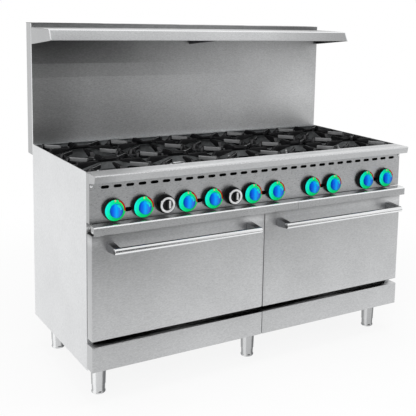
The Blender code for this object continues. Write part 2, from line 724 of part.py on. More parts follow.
def door_handle():
    """Round bar of the left door, carried by a block bracket at each end."""
    face = -DOOR_REACH - FIT
    start = DOOR_LEFT + HANDLE_INSET
    stop = DOOR_RIGHT - HANDLE_INSET
    bar = turned(rod(HANDLE_RADIUS, start, stop), HANDLE_SIDES, at(0, HANDLE_Y, HANDLE_Z) @ ACROSS)
    nose_top = (HANDLE_Y, HANDLE_Z + BRACKET_NOSE)
    nose_foot = (HANDLE_Y, HANDLE_Z - BRACKET_NOSE)
    heel = (face, HANDLE_Z - BRACKET_DROP)
    top = (face, HANDLE_Z + BRACKET_TOP)
    outline = [nose_foot] + bend(heel, nose_foot, top, BRACKET_DROP / 2) + [top, nose_top]
    brackets = bmesh.new()
    add_prism(brackets, outline, start + EMBED, start + BRACKET_WIDTH, ACROSS)
    add_prism(brackets, outline, stop - BRACKET_WIDTH, stop - EMBED, ACROSS)
    return join(bar, brackets, "UNION")


def crumb_tray(left, right):
    """Shallow tray under the burners whose channel-shaped front runs from left to right."""
    seam = TRAY_SEAM / 2
    front_left = left + (seam if left > -HALF else 0)
    front_right = right - (seam if right < HALF else 0)
    body_left = left + TRAY_SIDE_CLEARANCE + (PANEL_FLANGE if left == -HALF else 0)
    body_right = right - TRAY_SIDE_CLEARANCE - (PANEL_FLANGE if right == HALF else 0)
    foot = (-TRAY_REACH, TRAY_FRONT_BOTTOM)
    nose = (-TRAY_REACH, TRAY_FRONT_TOP)
    back = (TRAY_TOP_RUN - TRAY_REACH, TRAY_FRONT_TOP + TRAY_TOP_RISE)
    path = [(TRAY_LIP - TRAY_REACH, TRAY_FRONT_BOTTOM), foot]
    path += bend(nose, foot, back, TRAY_EDGE)
    path += [back]
    front = prism(strip(path, SHEET), front_left, front_right, ACROSS)
    wall_top = PANEL_BOTTOM - TRAY_WALL_CLEARANCE
    pan = tray((body_left, EMBED - TRAY_REACH, TRAY_FLOOR), (body_right, TRAY_BACK, wall_top), "+Z")
    return join(front, pan, "UNION")


def gas_manifold():
    """Gas pipe behind the control panel with a valve and stem for each knob, and its rear inlet."""
    inlet_x = HALF - INLET_INSET
    end = FLANGE_INSIDE - MANIFOLD_MARGIN
    pipe = turned(rod(MANIFOLD_RADIUS, -end, end), PIPE_SIDES, at(0, MANIFOLD_Y, KNOB_Z) @ ACROSS)
    front = PANEL_REACH - SHEET - FIT
    tip = PANEL_REACH + STEM_REACH
    valve = [(0, -MANIFOLD_Y), (VALVE_RADIUS, -MANIFOLD_Y), (VALVE_RADIUS, front)]
    valve += [(STEM_RADIUS, front), (STEM_RADIUS, tip), (0, tip)]
    valves = bmesh.new()
    for x in VALVE_X + OVEN_KNOB_X:
        add_turned(valves, valve, STEM_SIDES, at(x, 0, KNOB_Z) @ FACING)
    pipe = join(pipe, valves, "UNION")
    inlet = turned(rod(INLET_RADIUS, -SIDE_DEPTH - INLET_STUB, -MANIFOLD_Y), PIPE_SIDES,
                   at(inlet_x, 0, KNOB_Z) @ FACING)
    return join(pipe, inlet, "UNION")


def burner_pair():
    """Front and rear burner heads of one column on their carrier, with a venturi tube to each valve."""
    half = CARRIER_WIDTH / 2
    pipe_back = MANIFOLD_Y + MANIFOLD_RADIUS + FIT
    bottom = KNOB_Z - CARRIER_DROP
    top = bottom + CARRIER_HEIGHT
    pair = box((-half, pipe_back, bottom), (half, BACK_FACE - FIT, top))
    rim = BURNER_TOP - BURNER_DOME
    bowl = rim - BURNER_UNDERCUT
    throat = bowl - BURNER_BOWL
    head = dome(BURNER_RADIUS, rim, BURNER_TOP)
    head += [(BURNER_BOWL_RADIUS, bowl), (BURNER_BOWL_RADIUS, throat), (BURNER_NECK, throat - BURNER_THROAT)]
    head += [(BURNER_NECK, top - EMBED), (0, top - EMBED)]
    heads = bmesh.new()
    for y in GRATE_CENTRES:
        add_turned(heads, head, BURNER_SIDES, at(0, y, 0))
    pair = join(pair, heads, "UNION")
    tubes = bmesh.new()
    for y, side in zip(GRATE_CENTRES, (-1, 1)):
        start = Vector((side * KNOB_SPREAD, pipe_back + VENTURI_GAP, KNOB_Z))
        stop = Vector((0, y, BURNER_TOP - VENTURI_DROP))
        turn = (stop - start).to_track_quat("Z", "Y").to_matrix().to_4x4()
        add_turned(tubes, rod(VENTURI_RADIUS, 0, (stop - start).length), VENTURI_SIDES,
                   Matrix.Translation(start) @ turn)
    return join(pair, tubes, "UNION")


def grate_support():
    """Inverted channel between the two rows of grates, hung from side to side."""
    near = GRATE_FRONT_EDGE + GRATE_LENGTH - GRATE_BEARING
    far = GRATE_REAR_EDGE - GRATE_LENGTH + GRATE_BEARING
    path = [(near, GRATE_LEDGE - SUPPORT_HEIGHT), (near, GRATE_LEDGE), (far, GRATE_LEDGE)]
    path += [(far, GRATE_LEDGE - SUPPORT_HEIGHT)]
    return prism(strip(path, LINER_SHEET), -SKIN_INSIDE, SKIN_INSIDE, ACROSS)


def grate():
    """Cast grate: rounded square frame, a deep fin in each corner and a tapered finger on each side."""
    half_x = GRATE_WIDTH / 2
    half_y = GRATE_LENGTH / 2
    frame_top = GRATE_BOTTOM + GRATE_FRAME_HEIGHT

    def ring(inset):
        x = half_x - inset
        y = half_y - inset
        corners = [(x, y), (-x, y), (-x, -y), (x, -y)]
        points = []
        for index, corner in enumerate(corners):
            points += bend(corner, corners[index - 1], corners[(index + 1) % 4], GRATE_CORNER - inset)
        return points

    frame = prism(ring(0), GRATE_BOTTOM, frame_top)
    hole = prism(ring(GRATE_FRAME_WIDTH), GRATE_BOTTOM - FIT, frame_top + FIT)
    casting = join(frame, hole, "DIFFERENCE")

    corner = math.hypot(half_x - FIN_CORNER_INSET, half_y - FIN_CORNER_INSET)
    diagonal = math.atan2(half_y - FIN_CORNER_INSET, half_x - FIN_CORNER_INSET)
    root = GRATE_BOTTOM + FIN_ROOT_RISE
    under = GRATE_TOP - FIN_DEPTH
    fin = [(FIN_INNER_RADIUS, under), (corner - FIN_DROP_RUN, under)]
    fin += [(corner - FIN_THICKNESS, root), (corner, root)]
    fin += [(corner, frame_top + EMBED), (corner - FIN_END_RUN, GRATE_TOP), (FIN_INNER_RADIUS, GRATE_TOP)]
    upright = Matrix.Rotation(math.pi / 2, 4, "X")
    fins = bmesh.new()
    for angle in (diagonal, math.pi - diagonal, math.pi + diagonal, -diagonal):
        add_prism(fins, fin, -FIN_THICKNESS / 2, FIN_THICKNESS / 2, Matrix.Rotation(angle, 4, "Z") @ upright)
    casting = join(casting, fins, "UNION")

    fingers = bmesh.new()
    for quarter in range(4):
        reach = half_x if quarter % 2 == 0 else half_y
        outer = reach - FINGER_INSET
        finger = [(FINGER_INNER_RADIUS, GRATE_TOP - FINGER_TIP_DEPTH), (reach - FINGER_HEEL, root)]
        finger += [(outer, root), (outer, frame_top + EMBED), (outer - FIN_END_RUN, GRATE_TOP)]
        finger += [(FINGER_INNER_RADIUS, GRATE_TOP)]
        before = len(fingers.verts)
        add_prism(fingers, finger, -FINGER_ROOT / 2, FINGER_ROOT / 2, upright)
        fingers.verts.ensure_lookup_table()
        fresh = fingers.verts[before:]
        for vert in fresh:
            share = (vert.co.x - FINGER_INNER_RADIUS) / (outer - FINGER_INNER_RADIUS)
            vert.co.y *= (FINGER_TIP + share * (FINGER_ROOT - FINGER_TIP)) / FINGER_ROOT
        bmesh.ops.rotate(fingers, matrix=Matrix.Rotation(quarter * math.pi / 2, 3, "Z"), verts=fresh)
    return join(casting, fingers, "UNION")


def burner_knob():
    """Knob about local Z, towards the user: skirt, dished dial, domed hub and a blind bore for the stem."""
    bore = STEM_RADIUS + STEM_PLAY
    depth = STEM_REACH + STEM_PLAY
    profile = dome(HUB_RADIUS, HUB_WALL, KNOB_LENGTH) + [(HUB_RADIUS + HUB_FLARE, DIAL_ROOT)]
    profile += [(DIAL_RADIUS, DIAL_EDGE), (SKIRT_RADIUS, SKIRT_HEIGHT), (SKIRT_RADIUS, KNOB_FACE_GAP)]
    profile += [(bore, KNOB_FACE_GAP), (bore, depth), (0, depth)]
    return turned(profile, KNOB_SIDES)


def oven_knob():
    """Thermostat knob about local Z: tapered body, front ring, sunk centre with a pointer grip."""
    bore = STEM_RADIUS + STEM_PLAY
    depth = STEM_REACH + STEM_PLAY
    face = OVEN_KNOB_LENGTH
    sunk = face - OVEN_RING_DEPTH
    inner = OVEN_RING_RADIUS - OVEN_RING_WIDTH
    profile = [(0, sunk), (inner - OVEN_RING_EDGE, sunk), (inner, face), (OVEN_RING_RADIUS, face)]
    profile += [(OVEN_RING_RADIUS + OVEN_RING_EDGE, face - 2 * OVEN_RING_EDGE)]
    profile += [(OVEN_KNOB_RADIUS, OVEN_SKIRT_HEIGHT)]
    profile += [(OVEN_KNOB_RADIUS, KNOB_FACE_GAP), (bore, KNOB_FACE_GAP), (bore, depth), (0, depth)]
    knob = turned(profile, KNOB_SIDES)
    grip = POINTER_WIDTH / 2
    reach = inner - POINTER_MARGIN
    pointer = box((-grip, -reach, sunk - EMBED), (grip, reach, face - EMBED))
    return join(knob, pointer, "UNION")


def leg():
    """Levelling leg: tapered sleeve with a ring, and a bullet foot below it."""
    top = SIDE_BOTTOM + SHEET
    profile = [(0, top), (LEG_RADIUS, top), (SLEEVE_END_RADIUS, FOOT_HEIGHT + SLEEVE_COLLAR)]
    profile += [(SLEEVE_END_RADIUS, FOOT_HEIGHT), (FOOT_TOP_RADIUS, FOOT_HEIGHT)]
    profile += [(FOOT_WAIST_RADIUS, FOOT_WAIST_HEIGHT), (FOOT_FLARE_RADIUS, FOOT_FLARE_HEIGHT)]
    profile += [(FOOT_BASE_RADIUS, 0), (0, 0)]
    return turned(profile, LEG_SIDES)


def build():
    clear_scene()
    frame = bpy.data.objects.new("range_frame", None)
    frame.location = (0, FRONT_Y, 0)
    bpy.context.scene.collection.objects.link(frame)

    stainless = finish("brushed stainless sheet", (0.62, 0.62, 0.63), 0.34, 1.0)
    bright = finish("polished stainless bar", (0.74, 0.74, 0.75), 0.16, 1.0)
    galvanised = finish("galvanised sheet", (0.48, 0.49, 0.50), 0.50, 1.0)
    iron = finish("black cast iron", (0.022, 0.022, 0.023), 0.62, 0.2)
    enamel = finish("dark porcelain enamel", (0.045, 0.047, 0.052), 0.22, 0.0)
    wire = finish("chromed wire", (0.66, 0.66, 0.67), 0.20, 1.0)
    pipe = finish("black iron pipe", (0.06, 0.06, 0.065), 0.50, 0.6)
    dial = finish("knob moulding", (0.0, 0.83, 0.36), 0.30, 0.0)
    body = finish("black phenolic", (0.012, 0.012, 0.013), 0.35, 0.0)
    cast = finish("nickel plated casting", (0.55, 0.55, 0.56), 0.28, 1.0)

    place("side_panel_left", side_panel(), stainless, frame)
    place("side_panel_right", mirrored(side_panel()), stainless, frame)
    place("back_panel", back_panel(), galvanised, frame)
    place("base_pan", base_pan(), galvanised, frame)
    place("front_rail", front_rail(), stainless, frame)
    place("control_panel", control_panel(), stainless, frame)
    place("riser", riser(), stainless, frame)
    place("riser_shelf", riser_shelf(), stainless, frame)
    place("kick_panel_left", kick_panel(), stainless, frame)
    place("kick_panel_right", mirrored(kick_panel()), stainless, frame)
    place("oven_liner_left", oven_liner(), enamel, frame)
    place("oven_liner_right", mirrored(oven_liner()), enamel, frame)
    place("oven_rack_left", oven_rack(), wire, frame)
    place("oven_rack_right", mirrored(oven_rack()), wire, frame)

    for side, turn in (("left", lambda solid: solid), ("right", mirrored)):
        sign = -1 if side == "left" else 1
        hinge = (sign * HALF / 2, HINGE_Y, HINGE_Z)
        place(f"door_shell_{side}", turn(door_shell()), stainless, frame, hinge)
        place(f"door_liner_{side}", turn(door_liner()), enamel, frame, hinge)
        place(f"door_handle_{side}", turn(door_handle()), bright, frame, hinge, smooth=True)

    for side, left, right in (("left", -HALF, TRAY_SPLIT), ("right", TRAY_SPLIT, HALF)):
        origin = ((left + right) / 2, -TRAY_REACH, TRAY_FLOOR)
        place(f"crumb_tray_{side}", crumb_tray(left, right), stainless, frame, origin)

    place("gas_manifold", gas_manifold(), pipe, frame, smooth=True)
    place("grate_support", grate_support(), galvanised, frame)

    burner = mesh_of("burner_pair", burner_pair(), iron, smooth=True)
    casting = mesh_of("grate", grate(), iron)
    for number, x in enumerate(COLUMN_CENTRES, start=1):
        put(f"burner_pair_{number}", burner, frame, (x, 0, 0))
        for label, y in zip(("front", "rear"), GRATE_CENTRES):
            put(f"grate_{label}_{number}", casting, frame, (x, y, 0))

    facing = (math.pi / 2, 0, 0)
    moulding = mesh_of("burner_knob", burner_knob(), dial, smooth=True)
    for number, x in enumerate(VALVE_X, start=1):
        put(f"burner_knob_{number}", moulding, frame, (x, -PANEL_REACH, KNOB_Z), facing)
    moulding = mesh_of("oven_knob", oven_knob(), body, smooth=True)
    for number, x in enumerate(OVEN_KNOB_X, start=1):
        put(f"oven_knob_{number}", moulding, frame, (x, -PANEL_REACH, KNOB_Z), facing)

    foot = mesh_of("leg", leg(), cast, smooth=True)
    for label, y in (("front", LEG_FRONT_Y), ("rear", LEG_REAR_Y)):
        for spot, x in (("left", LEG_SIDE_INSET - HALF), ("middle", 0), ("right", HALF - LEG_SIDE_INSET)):
            put(f"leg_{label}_{spot}", foot, frame, (x, y, 0))


build()
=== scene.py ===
import math

import bmesh
import bpy
import numpy as np
from mathutils import Matrix, Vector


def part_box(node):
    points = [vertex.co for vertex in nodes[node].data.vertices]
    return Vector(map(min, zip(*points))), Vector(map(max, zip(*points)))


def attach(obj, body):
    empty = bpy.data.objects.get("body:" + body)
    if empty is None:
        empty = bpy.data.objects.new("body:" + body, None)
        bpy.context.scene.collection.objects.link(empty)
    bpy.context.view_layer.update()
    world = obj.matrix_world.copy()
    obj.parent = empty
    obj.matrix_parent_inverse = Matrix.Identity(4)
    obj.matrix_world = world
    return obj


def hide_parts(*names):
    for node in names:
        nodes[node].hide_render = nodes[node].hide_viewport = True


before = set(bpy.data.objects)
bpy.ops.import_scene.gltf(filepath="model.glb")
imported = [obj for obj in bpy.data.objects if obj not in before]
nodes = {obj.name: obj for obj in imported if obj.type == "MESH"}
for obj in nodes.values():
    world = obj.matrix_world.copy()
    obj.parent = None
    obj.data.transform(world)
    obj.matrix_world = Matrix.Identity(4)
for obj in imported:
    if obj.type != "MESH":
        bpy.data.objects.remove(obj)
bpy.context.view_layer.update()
scene = bpy.context.scene
scene.view_settings.view_transform = "Standard"
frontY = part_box("side_panel_left")[0][1]  # front edge of the side panels; depths below count from it
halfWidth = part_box("side_panel_right")[1][0]
hands = ("left", "right")
burnerColumns = range(1, 6)  # counted from the left
burnerKnobs = range(1, 11)  # two to a column
smallSides = 16  # sides of a small turned piece
arcSteps = 6  # steps in the arc of a fold
print("frame loaded:", len(nodes), "solids")


def deep(value):
    # a depth counted back from the front edge of the side panels
    return frontY + value


def middleOf(name):
    # half the sum of the two corners of a solid's box
    low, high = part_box(name)
    return (np.array(low) + np.array(high)) / 2


def unit(rows):
    # each row divided by its own length
    return rows / np.linalg.norm(rows, axis=1)[:, None]


def gridFaces(rows, columns):
    # quads between neighbouring rings of points, the columns running right round
    row = np.arange(rows - 1)[:, None] * columns
    column = np.arange(columns)
    follow = (column + 1) % columns
    quads = [row + column, row + follow, row + columns + follow, row + columns + column]
    return np.stack(quads, -1).reshape(-1, 4)


def tubeFaces(rows, columns):
    # the quads of a tube of rings, then one face over its first ring and one over its last
    spot = np.arange(columns)
    return [gridFaces(rows, columns), spot[None, ::-1], ((rows - 1) * columns + spot)[None]]


def circle(radius, sides):
    # points at equal angles a: x = r cos a, y = r sin a
    turn = np.linspace(0, 2 * np.pi, sides, endpoint=False)
    return radius * np.stack([np.cos(turn), np.sin(turn)], 1)


def lathe(profile, sides, ribs=0, ribDepth=0.0):
    # radius and height turned round Z, x = r cos a, y = r sin a, z = h; ribs lift h by depth * cos(ribs a)
    profile = np.asarray(profile, float)
    turn = np.linspace(0, 2 * np.pi, sides, endpoint=False)
    radius = profile[:, :1]
    height = np.repeat(profile[:, 1:2], sides, 1)
    if ribs:
        height = height + ribDepth * profile[:, 2:3] * np.cos(ribs * turn)
    ring = np.stack([radius * np.cos(turn), radius * np.sin(turn), height], -1).reshape(-1, 3)
    points = np.concatenate([ring, [[0, 0, height[0].mean()], [0, 0, height[-1].mean()]]])
    spot = np.arange(sides)
    follow = (spot + 1) % sides
    last = len(ring) - sides
    fans = [np.stack([np.full(sides, len(ring)), follow, spot], 1)]
    fans.append(np.stack([np.full(sides, len(ring) + 1), last + spot, last + follow], 1))
    return points, [gridFaces(len(profile), sides)] + fans


def prism(outline, start, stop):
    # an outline in the YZ plane drawn out along X, both ends shut
    outline = np.asarray(outline, float)
    rows = [np.insert(outline, 0, x, axis=1) for x in (start, stop)]
    return np.concatenate(rows), tubeFaces(2, len(outline))


def roundPath(corners, radius, steps=arcSteps):
    # each inner corner of a path gives way to an arc that touches both of its sides
    corners = np.asarray(corners, float)
    middle = corners[1:-1]
    radius = np.broadcast_to(radius, len(middle))[:, None]
    first = unit(corners[:-2] - middle)
    second = unit(corners[2:] - middle)
    half = np.arccos(np.clip((first * second).sum(1), -1, 1))[:, None] / 2
    centre = middle + unit(first + second) * radius / np.sin(half)
    begin = middle + first * radius / np.tan(half) - centre
    end = middle + second * radius / np.tan(half) - centre
    sweep = (np.pi - 2 * half)[:, :, None]
    share = np.linspace(0, 1, steps + 1)[None, :, None]
    arm = np.sin((1 - share) * sweep) * begin[:, None] + np.sin(share * sweep) * end[:, None]
    arm = arm / np.sin(sweep)
    return np.concatenate([corners[:1], (centre[:, None] + arm).reshape(-1, 2), corners[-1:]])


def cutCorner(corners, index, size):
    # one corner of a path gives way to a straight bevel that starts and ends the given distance from it
    corners = np.asarray(corners, float)
    ends = corners[index] + size * unit(corners[[index - 1, index + 1]] - corners[index])
    return np.concatenate([corners[:index], ends, corners[index + 1:]])


def besidePath(path, distance):
    # the path moved to its right, with mitred corners: p + d (m + n) / (1 + m . n) for the normals on
    # either side
    path = np.asarray(path, float)
    step = unit(np.diff(path, axis=0))
    normal = np.stack([step[:, 1], -step[:, 0]], 1)
    before = np.concatenate([normal[:1], normal])
    after = np.concatenate([normal, normal[-1:]])
    return path + distance * (before + after) / (1 + (before * after).sum(1))[:, None]


def bentSheet(path, sheet, start, stop, breaks=()):
    # a path in the YZ plane is the show face; the sheet lies on its right and is drawn out along X. the
    # face groups are the show side, cut into several at the breaks, the hidden side and the two ends
    path = np.asarray(path, float)
    count = len(path)
    points, faces = prism(np.concatenate([path, besidePath(path, sheet)[::-1]]), start, stop)
    spot = np.arange(count - 1)
    end = np.stack([spot, spot + 1, 2 * count - 2 - spot, 2 * count - 1 - spot], 1)
    shown = np.split(faces[0][:count - 1], breaks)
    return points, shown + [faces[0][count - 1:], end[:, ::-1], end + 2 * count]


def roundedOutline(low, high, radius, steps, stops=()):
    # rectangle with quarter-circle corners, counter-clockwise; stops are extra points along its lower side
    turn = np.linspace(0, np.pi / 2, steps + 1)
    corners = [(high[0], high[1], -1, -1), (low[0], high[1], 1, -1)]
    corners += [(low[0], low[1], 1, 1), (high[0], low[1], -1, 1)]
    arcs = []
    for quarter, (x, z, wayX, wayZ) in enumerate(corners):
        angle = turn + quarter * np.pi / 2
        arcs.append(np.stack([x + radius * (wayX + np.cos(angle)), z + radius * (wayZ + np.sin(angle))], 1))
    lower = np.array([(x, low[1]) for x in stops]).reshape(-1, 2)
    return np.concatenate(arcs[:3] + [lower] + arcs[3:])


def foldedFront(low, high, sheet, bend, corner, notches=(), notchY=None):
    # front sheet in the XZ plane with its four edges folded back: rings that shrink by bend (1 - cos t) as
    # they come forward by bend sin t, outside and inside, joined at the back edge; notches in the lower
    # edge reach to notchY
    steps, arc, least, tiny = 4, 3, 2e-4, 1e-5
    stops = [x for left, right in notches for x in (left, left + tiny, right - tiny, right)]
    turn = np.linspace(0, np.pi / 2, steps + 1)
    inside = bend - sheet
    arcs = np.stack([1 - np.cos(turn), 1 - np.sin(turn)], 1)
    rows = [*(sheet + inside * arcs[::-1] + (0, low[1])).tolist(), (sheet, None), (0.0, None)]
    rows += (bend * arcs + (0, low[1])).tolist()
    lower = slice(3 * (arc + 1), 3 * (arc + 1) + len(stops))
    rings = []
    for inset, depth in rows:
        start, stop = (low[0] + inset, low[2] + inset), (high[0] - inset, high[2] - inset)
        ring = roundedOutline(start, stop, max(corner - inset, least), arc, stops)
        y = np.full(len(ring), high[1] if depth is None else depth)
        if depth is None and notches:
            y[lower].reshape(-1, 4)[:, 1:3] = notchY
        rings.append(np.stack([ring[:, 0], y, ring[:, 1]], 1))
    return np.concatenate(rings), tubeFaces(len(rings), len(rings[0]))


def openPan(low, high, sheet, corner, steps=4):
    # shallow pan: rounded rectangles outside and inside, joined over the rim, with a floor to each
    inner = (low[0] + sheet, low[1] + sheet), (high[0] - sheet, high[1] - sheet)
    rows = [(low[:2], high[:2], corner, low[2]), (low[:2], high[:2], corner, high[2])]
    rows += [(*inner, corner - sheet, high[2]), (*inner, corner - sheet, low[2] + sheet)]
    rings = [np.insert(roundedOutline(start, stop, radius, steps), 2, z, 1)
             for start, stop, radius, z in rows]
    return np.concatenate(rings), tubeFaces(len(rings), len(rings[0]))


def slottedTop(left, right, front, back, length, width, bottom, top):
    # one bay of a plate with a round-ended slot: each point of the slot's edge looks out along its own
    # normal to the bay's border, which gives the two rims of the plate
    tiny, far, arc = 1e-9, 9.0, 13
    radius = width / 2
    run = length / 2 - radius
    centre = ((left + right) / 2, (front + back) / 2)
    halfX, halfY = (right - left) / 2, (back - front) / 2
    corner = math.atan2(halfY, halfX - run)
    turn = np.unique(np.concatenate([np.linspace(-np.pi / 2, np.pi / 2, arc), [-corner, corner]]))
    turn = np.concatenate([turn, turn + np.pi])
    way = np.stack([np.cos(turn), np.sin(turn)], 1)
    base = np.stack([np.where(np.arange(len(turn)) < len(turn) // 2, run, -run), np.zeros(len(turn))], 1)
    size = np.abs(way)
    reach = np.where(size > tiny, np.array([halfX - run, halfY]) / np.maximum(size, tiny), far).min(1)
    hole = base + radius * way + centre
    border = base + reach[:, None] * way + centre
    rows = ((border, bottom), (hole, bottom), (hole, top), (border, top), (border, bottom))
    return np.concatenate([np.insert(ring, 2, z, 1) for ring, z in rows]), [gridFaces(len(rows), len(turn))]


def block(low, high):
    # plain box; a live bevel rounds it where its piece has one
    x, y, z = np.meshgrid(*zip(low, high), indexing="ij")
    faces = [(0, 1, 3, 2), (4, 6, 7, 5), (0, 4, 5, 1), (2, 3, 7, 6), (0, 2, 6, 4), (1, 5, 7, 3)]
    return np.stack([x, y, z], -1).reshape(-1, 3), [np.array(faces)]


def carried(path, section, closed=False):
    # a section carried along a path that lies flat in the XY plane: p + a * across + b * up for its points
    # (a, b)
    path = np.asarray(path, float)
    section = np.asarray(section, float)
    ahead = unit(np.roll(path, -1, 0) - np.roll(path, 1, 0) if closed else np.gradient(path, axis=0))
    across = np.stack([-ahead[:, 1], ahead[:, 0], np.zeros(len(path))], 1)
    up = np.array([0, 0, 1.0])
    points = path[:, None] + section[None, :, :1] * across[:, None] + section[None, :, 1:] * up
    points = points.reshape(-1, 3)
    if closed:
        return points, [gridFaces(len(path) + 1, len(section)) % len(points)]
    return points, tubeFaces(len(path), len(section))


def facing(points, at):
    # turns a shape about Z to face the user: its Z becomes -Y and its Y becomes +Z
    return np.stack([at[0] + points[:, 0], at[1] - points[:, 2], at[2] + points[:, 1]], 1)


def along(points, at):
    # lays a shape about Z along X: its Z becomes X, its X becomes Y and its Y becomes Z
    return points[:, [2, 0, 1]] + np.asarray(at)


def turned(points, angle, at):
    # turns points about Z, x' = x cos a - y sin a and y' = x sin a + y cos a, and then moves them
    c, s = math.cos(angle), math.sin(angle)
    return points @ np.array([[c, s, 0], [-s, c, 0], [0, 0, 1]]) + np.asarray(at)


def placed(shape, way, at):
    # the same faces with the points put through one of the ways above
    return way(shape[0], at), shape[1]


edges = {"sharp": 38, "segments": 2, "limit": 40}


def putPiece(name, patches, body, stands=(), bevel=None):
    # patches are (points, face groups, finish or one for each group, plan). the points are stacked and each
    # patch's faces count on from the points before it; plan is the UV map where one is given
    starts = np.cumsum([0] + [len(patch[0]) for patch in patches])
    skins = [patch[2] if isinstance(patch[2], tuple) else (patch[2],) * len(patch[1]) for patch in patches]
    finishes = list(dict.fromkeys(finish for skin in skins for finish in skin))
    loops, sizes, index = [], [], []
    for patch, start, skin in zip(patches, starts, skins):
        for face, finish in zip(patch[1], skin):
            loops.append((face + start).ravel())
            sizes.append(np.full(len(face), face.shape[1]))
            index.append(np.full(len(face), finishes.index(finish)))
    loops, sizes, index = (np.concatenate(group).astype(np.int32) for group in (loops, sizes, index))
    mesh = bpy.data.meshes.new(name)
    mesh.vertices.add(starts[-1])
    mesh.vertices.foreach_set("co", np.concatenate([patch[0] for patch in patches]).ravel())
    mesh.loops.add(len(loops))
    mesh.loops.foreach_set("vertex_index", loops)
    mesh.polygons.add(len(sizes))
    mesh.polygons.foreach_set("loop_start", (np.cumsum(sizes) - sizes).astype(np.int32))
    for finish in finishes:
        mesh.materials.append(finish)
    mesh.polygons.foreach_set("material_index", index)
    mesh.update(calc_edges=True)
    if any(len(patch) > 3 for patch in patches):
        plan = np.concatenate([patch[3] if len(patch) > 3 else patch[0][:, :2] * 0 for patch in patches])
        mesh.uv_layers.new(name="plan").uv.foreach_set("vector", plan[loops].astype(np.float32).ravel())
    work = bmesh.new()
    work.from_mesh(mesh)
    bmesh.ops.recalc_face_normals(work, faces=work.faces)
    work.to_mesh(mesh)
    work.free()
    mesh.shade_smooth()
    mesh.set_sharp_from_angle(angle=math.radians(edges["sharp"]))
    piece = bpy.data.objects.new(name, mesh)
    scene.collection.objects.link(piece)
    if bevel:
        edge = piece.modifiers.new("rounded edges", "BEVEL")
        edge.width = bevel
        edge.segments = edges["segments"]
        edge.limit_method = "ANGLE"
        edge.angle_limit = math.radians(edges["limit"])
        edge.harden_normals = True
    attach(piece, body)
    if stands:
        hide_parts(*stands)


def hexColour(text):
    # sRGB hex to linear light: v / 12.92 up to 0.04045, above it ((v + 0.055) / 1.055) to the power 2.4
    value = np.array([int(text[i:i + 2], 16) for i in (1, 3, 5)]) / 255
    linear = np.where(value <= 0.04045, value / 12.92, ((value + 0.055) / 1.055) ** 2.4)
    return (*linear.tolist(), 1.0)


def addNode(tree, node, inputs=(), stops=(), **settings):
    # adds a node by its kind and operation, or takes one that is there. inputs go by name or in order: a
    # node, by its first output in use, or a socket is linked, and another value is set; stops are a ramp's
    # (place, hex) pairs
    if isinstance(node, str):
        kind, *operation = node.split()
        node = tree.nodes.new("ShaderNode" + kind)
        settings.update(zip(("operation",), operation))
    for key, value in settings.items():
        setattr(node, key, value)
    for key, value in inputs.items() if isinstance(inputs, dict) else enumerate(inputs):
        if isinstance(value, bpy.types.Node):
            value = next(socket for socket in value.outputs if socket.enabled)
        if isinstance(value, bpy.types.NodeSocket):
            tree.links.new(value, node.inputs[key])
        else:
            node.inputs[key].default_value = value
    for _ in stops[2:]:
        node.color_ramp.elements.new(0.5)
    for number, (place, colour) in enumerate(stops):
        node.color_ramp.elements[number].position = place
        node.color_ramp.elements[number].color = hexColour(colour)
    return node


def newFinish(name, **sockets):
    # a material, what adds nodes to it, its shader with the sockets set, and the place of a point on the
    # piece
    finish = bpy.data.materials.new(name)
    finish.use_nodes = True
    tree = finish.node_tree
    settings = {key.replace("_", " "): value for key, value in sockets.items()}
    shader = addNode(tree, tree.nodes["Principled BSDF"], settings)
    place = addNode(tree, "TexCoord").outputs["Object"]
    return finish, lambda *given, **more: addNode(tree, *given, **more), shader, place


streakAcross = (130.0, 330.0, 330.0)  # 8 mm long along X, 3 mm wide
streakUp = (330.0, 330.0, 130.0)
blended = {"data_type": "RGBA"}
multiplied = {"data_type": "RGBA", "blend_type": "MULTIPLY"}


def brushedSteel(name, dark, light, rough, metal=1.0, heightShade=(), shades=(), grain=streakAcross):
    # cold-rolled sheet brushed one way: fine scratches that smear reflections across the brushing and leave
    # a silky speckle. real scratches are 0.1 mm wide; they are drawn about 3 mm wide so that they show.
    # the tone by height, in (metres, hex) pairs, is painted shade and painted reflection; shades are (hex,
    # from x, to x, from z, to z), patches of painted shade that grow to x and z
    turn = 0.25 if grain == streakAcross else 0.0
    finish, add, shader, place = newFinish("stainless sheet, " + name, Metallic=metal, Anisotropic=0.8,
                                           Anisotropic_Rotation=turn)
    part = add("SeparateXYZ", (place,)).outputs
    streakPlace = add("Mapping", {"Vector": place, "Scale": grain})
    streak = add("TexNoise", {"Vector": streakPlace, "Scale": 1.0, "Detail": 4.0, "Roughness": 0.62})
    cloud = add("TexNoise", {"Vector": place, "Scale": 4.5, "Detail": 2.0})
    mixed = add("Math MULTIPLY_ADD", (cloud, 0.3, -0.15))
    tone = add("Math ADD", (streak, mixed))
    colour = add("ValToRGB", (tone,), ((0.3, dark), (0.7, light)))
    # painted shade and painted reflection by height, multiplied into the tone
    if heightShade:
        start, stop = heightShade[0][0], heightShade[-1][0]
        level = add("MapRange", (part["Z"], start, stop))
        scoured = add("ValToRGB", (level,), [((z - start) / (stop - start), tint) for z, tint in heightShade])
        colour = add("Mix", {"Factor": 1.0, 6: colour, 7: scoured}, **multiplied)
    # patches of painted shade, a smoothstep in x times one in z
    for tint, *spans in shades:
        share = [add("MapRange", (part[axis], start, stop), interpolation_type="SMOOTHSTEP")
                 for axis, start, stop in zip("XZ", spans[::2], spans[1::2])]
        both = add("Math MULTIPLY", share)
        colour = add("Mix", {"Factor": both, 6: colour, 7: hexColour(tint)}, **multiplied)
    gloss = add("MapRange", (streak, 0.25, 0.75, rough - 0.03, rough + 0.04))
    bump = add("Bump", {"Height": streak, "Strength": 0.03, "Distance": 0.0006})
    tangent = add("Tangent", direction_type="RADIAL", axis="Z")
    add(shader, {"Base Color": colour, "Roughness": gloss, "Normal": bump, "Tangent": tangent})
    return finish


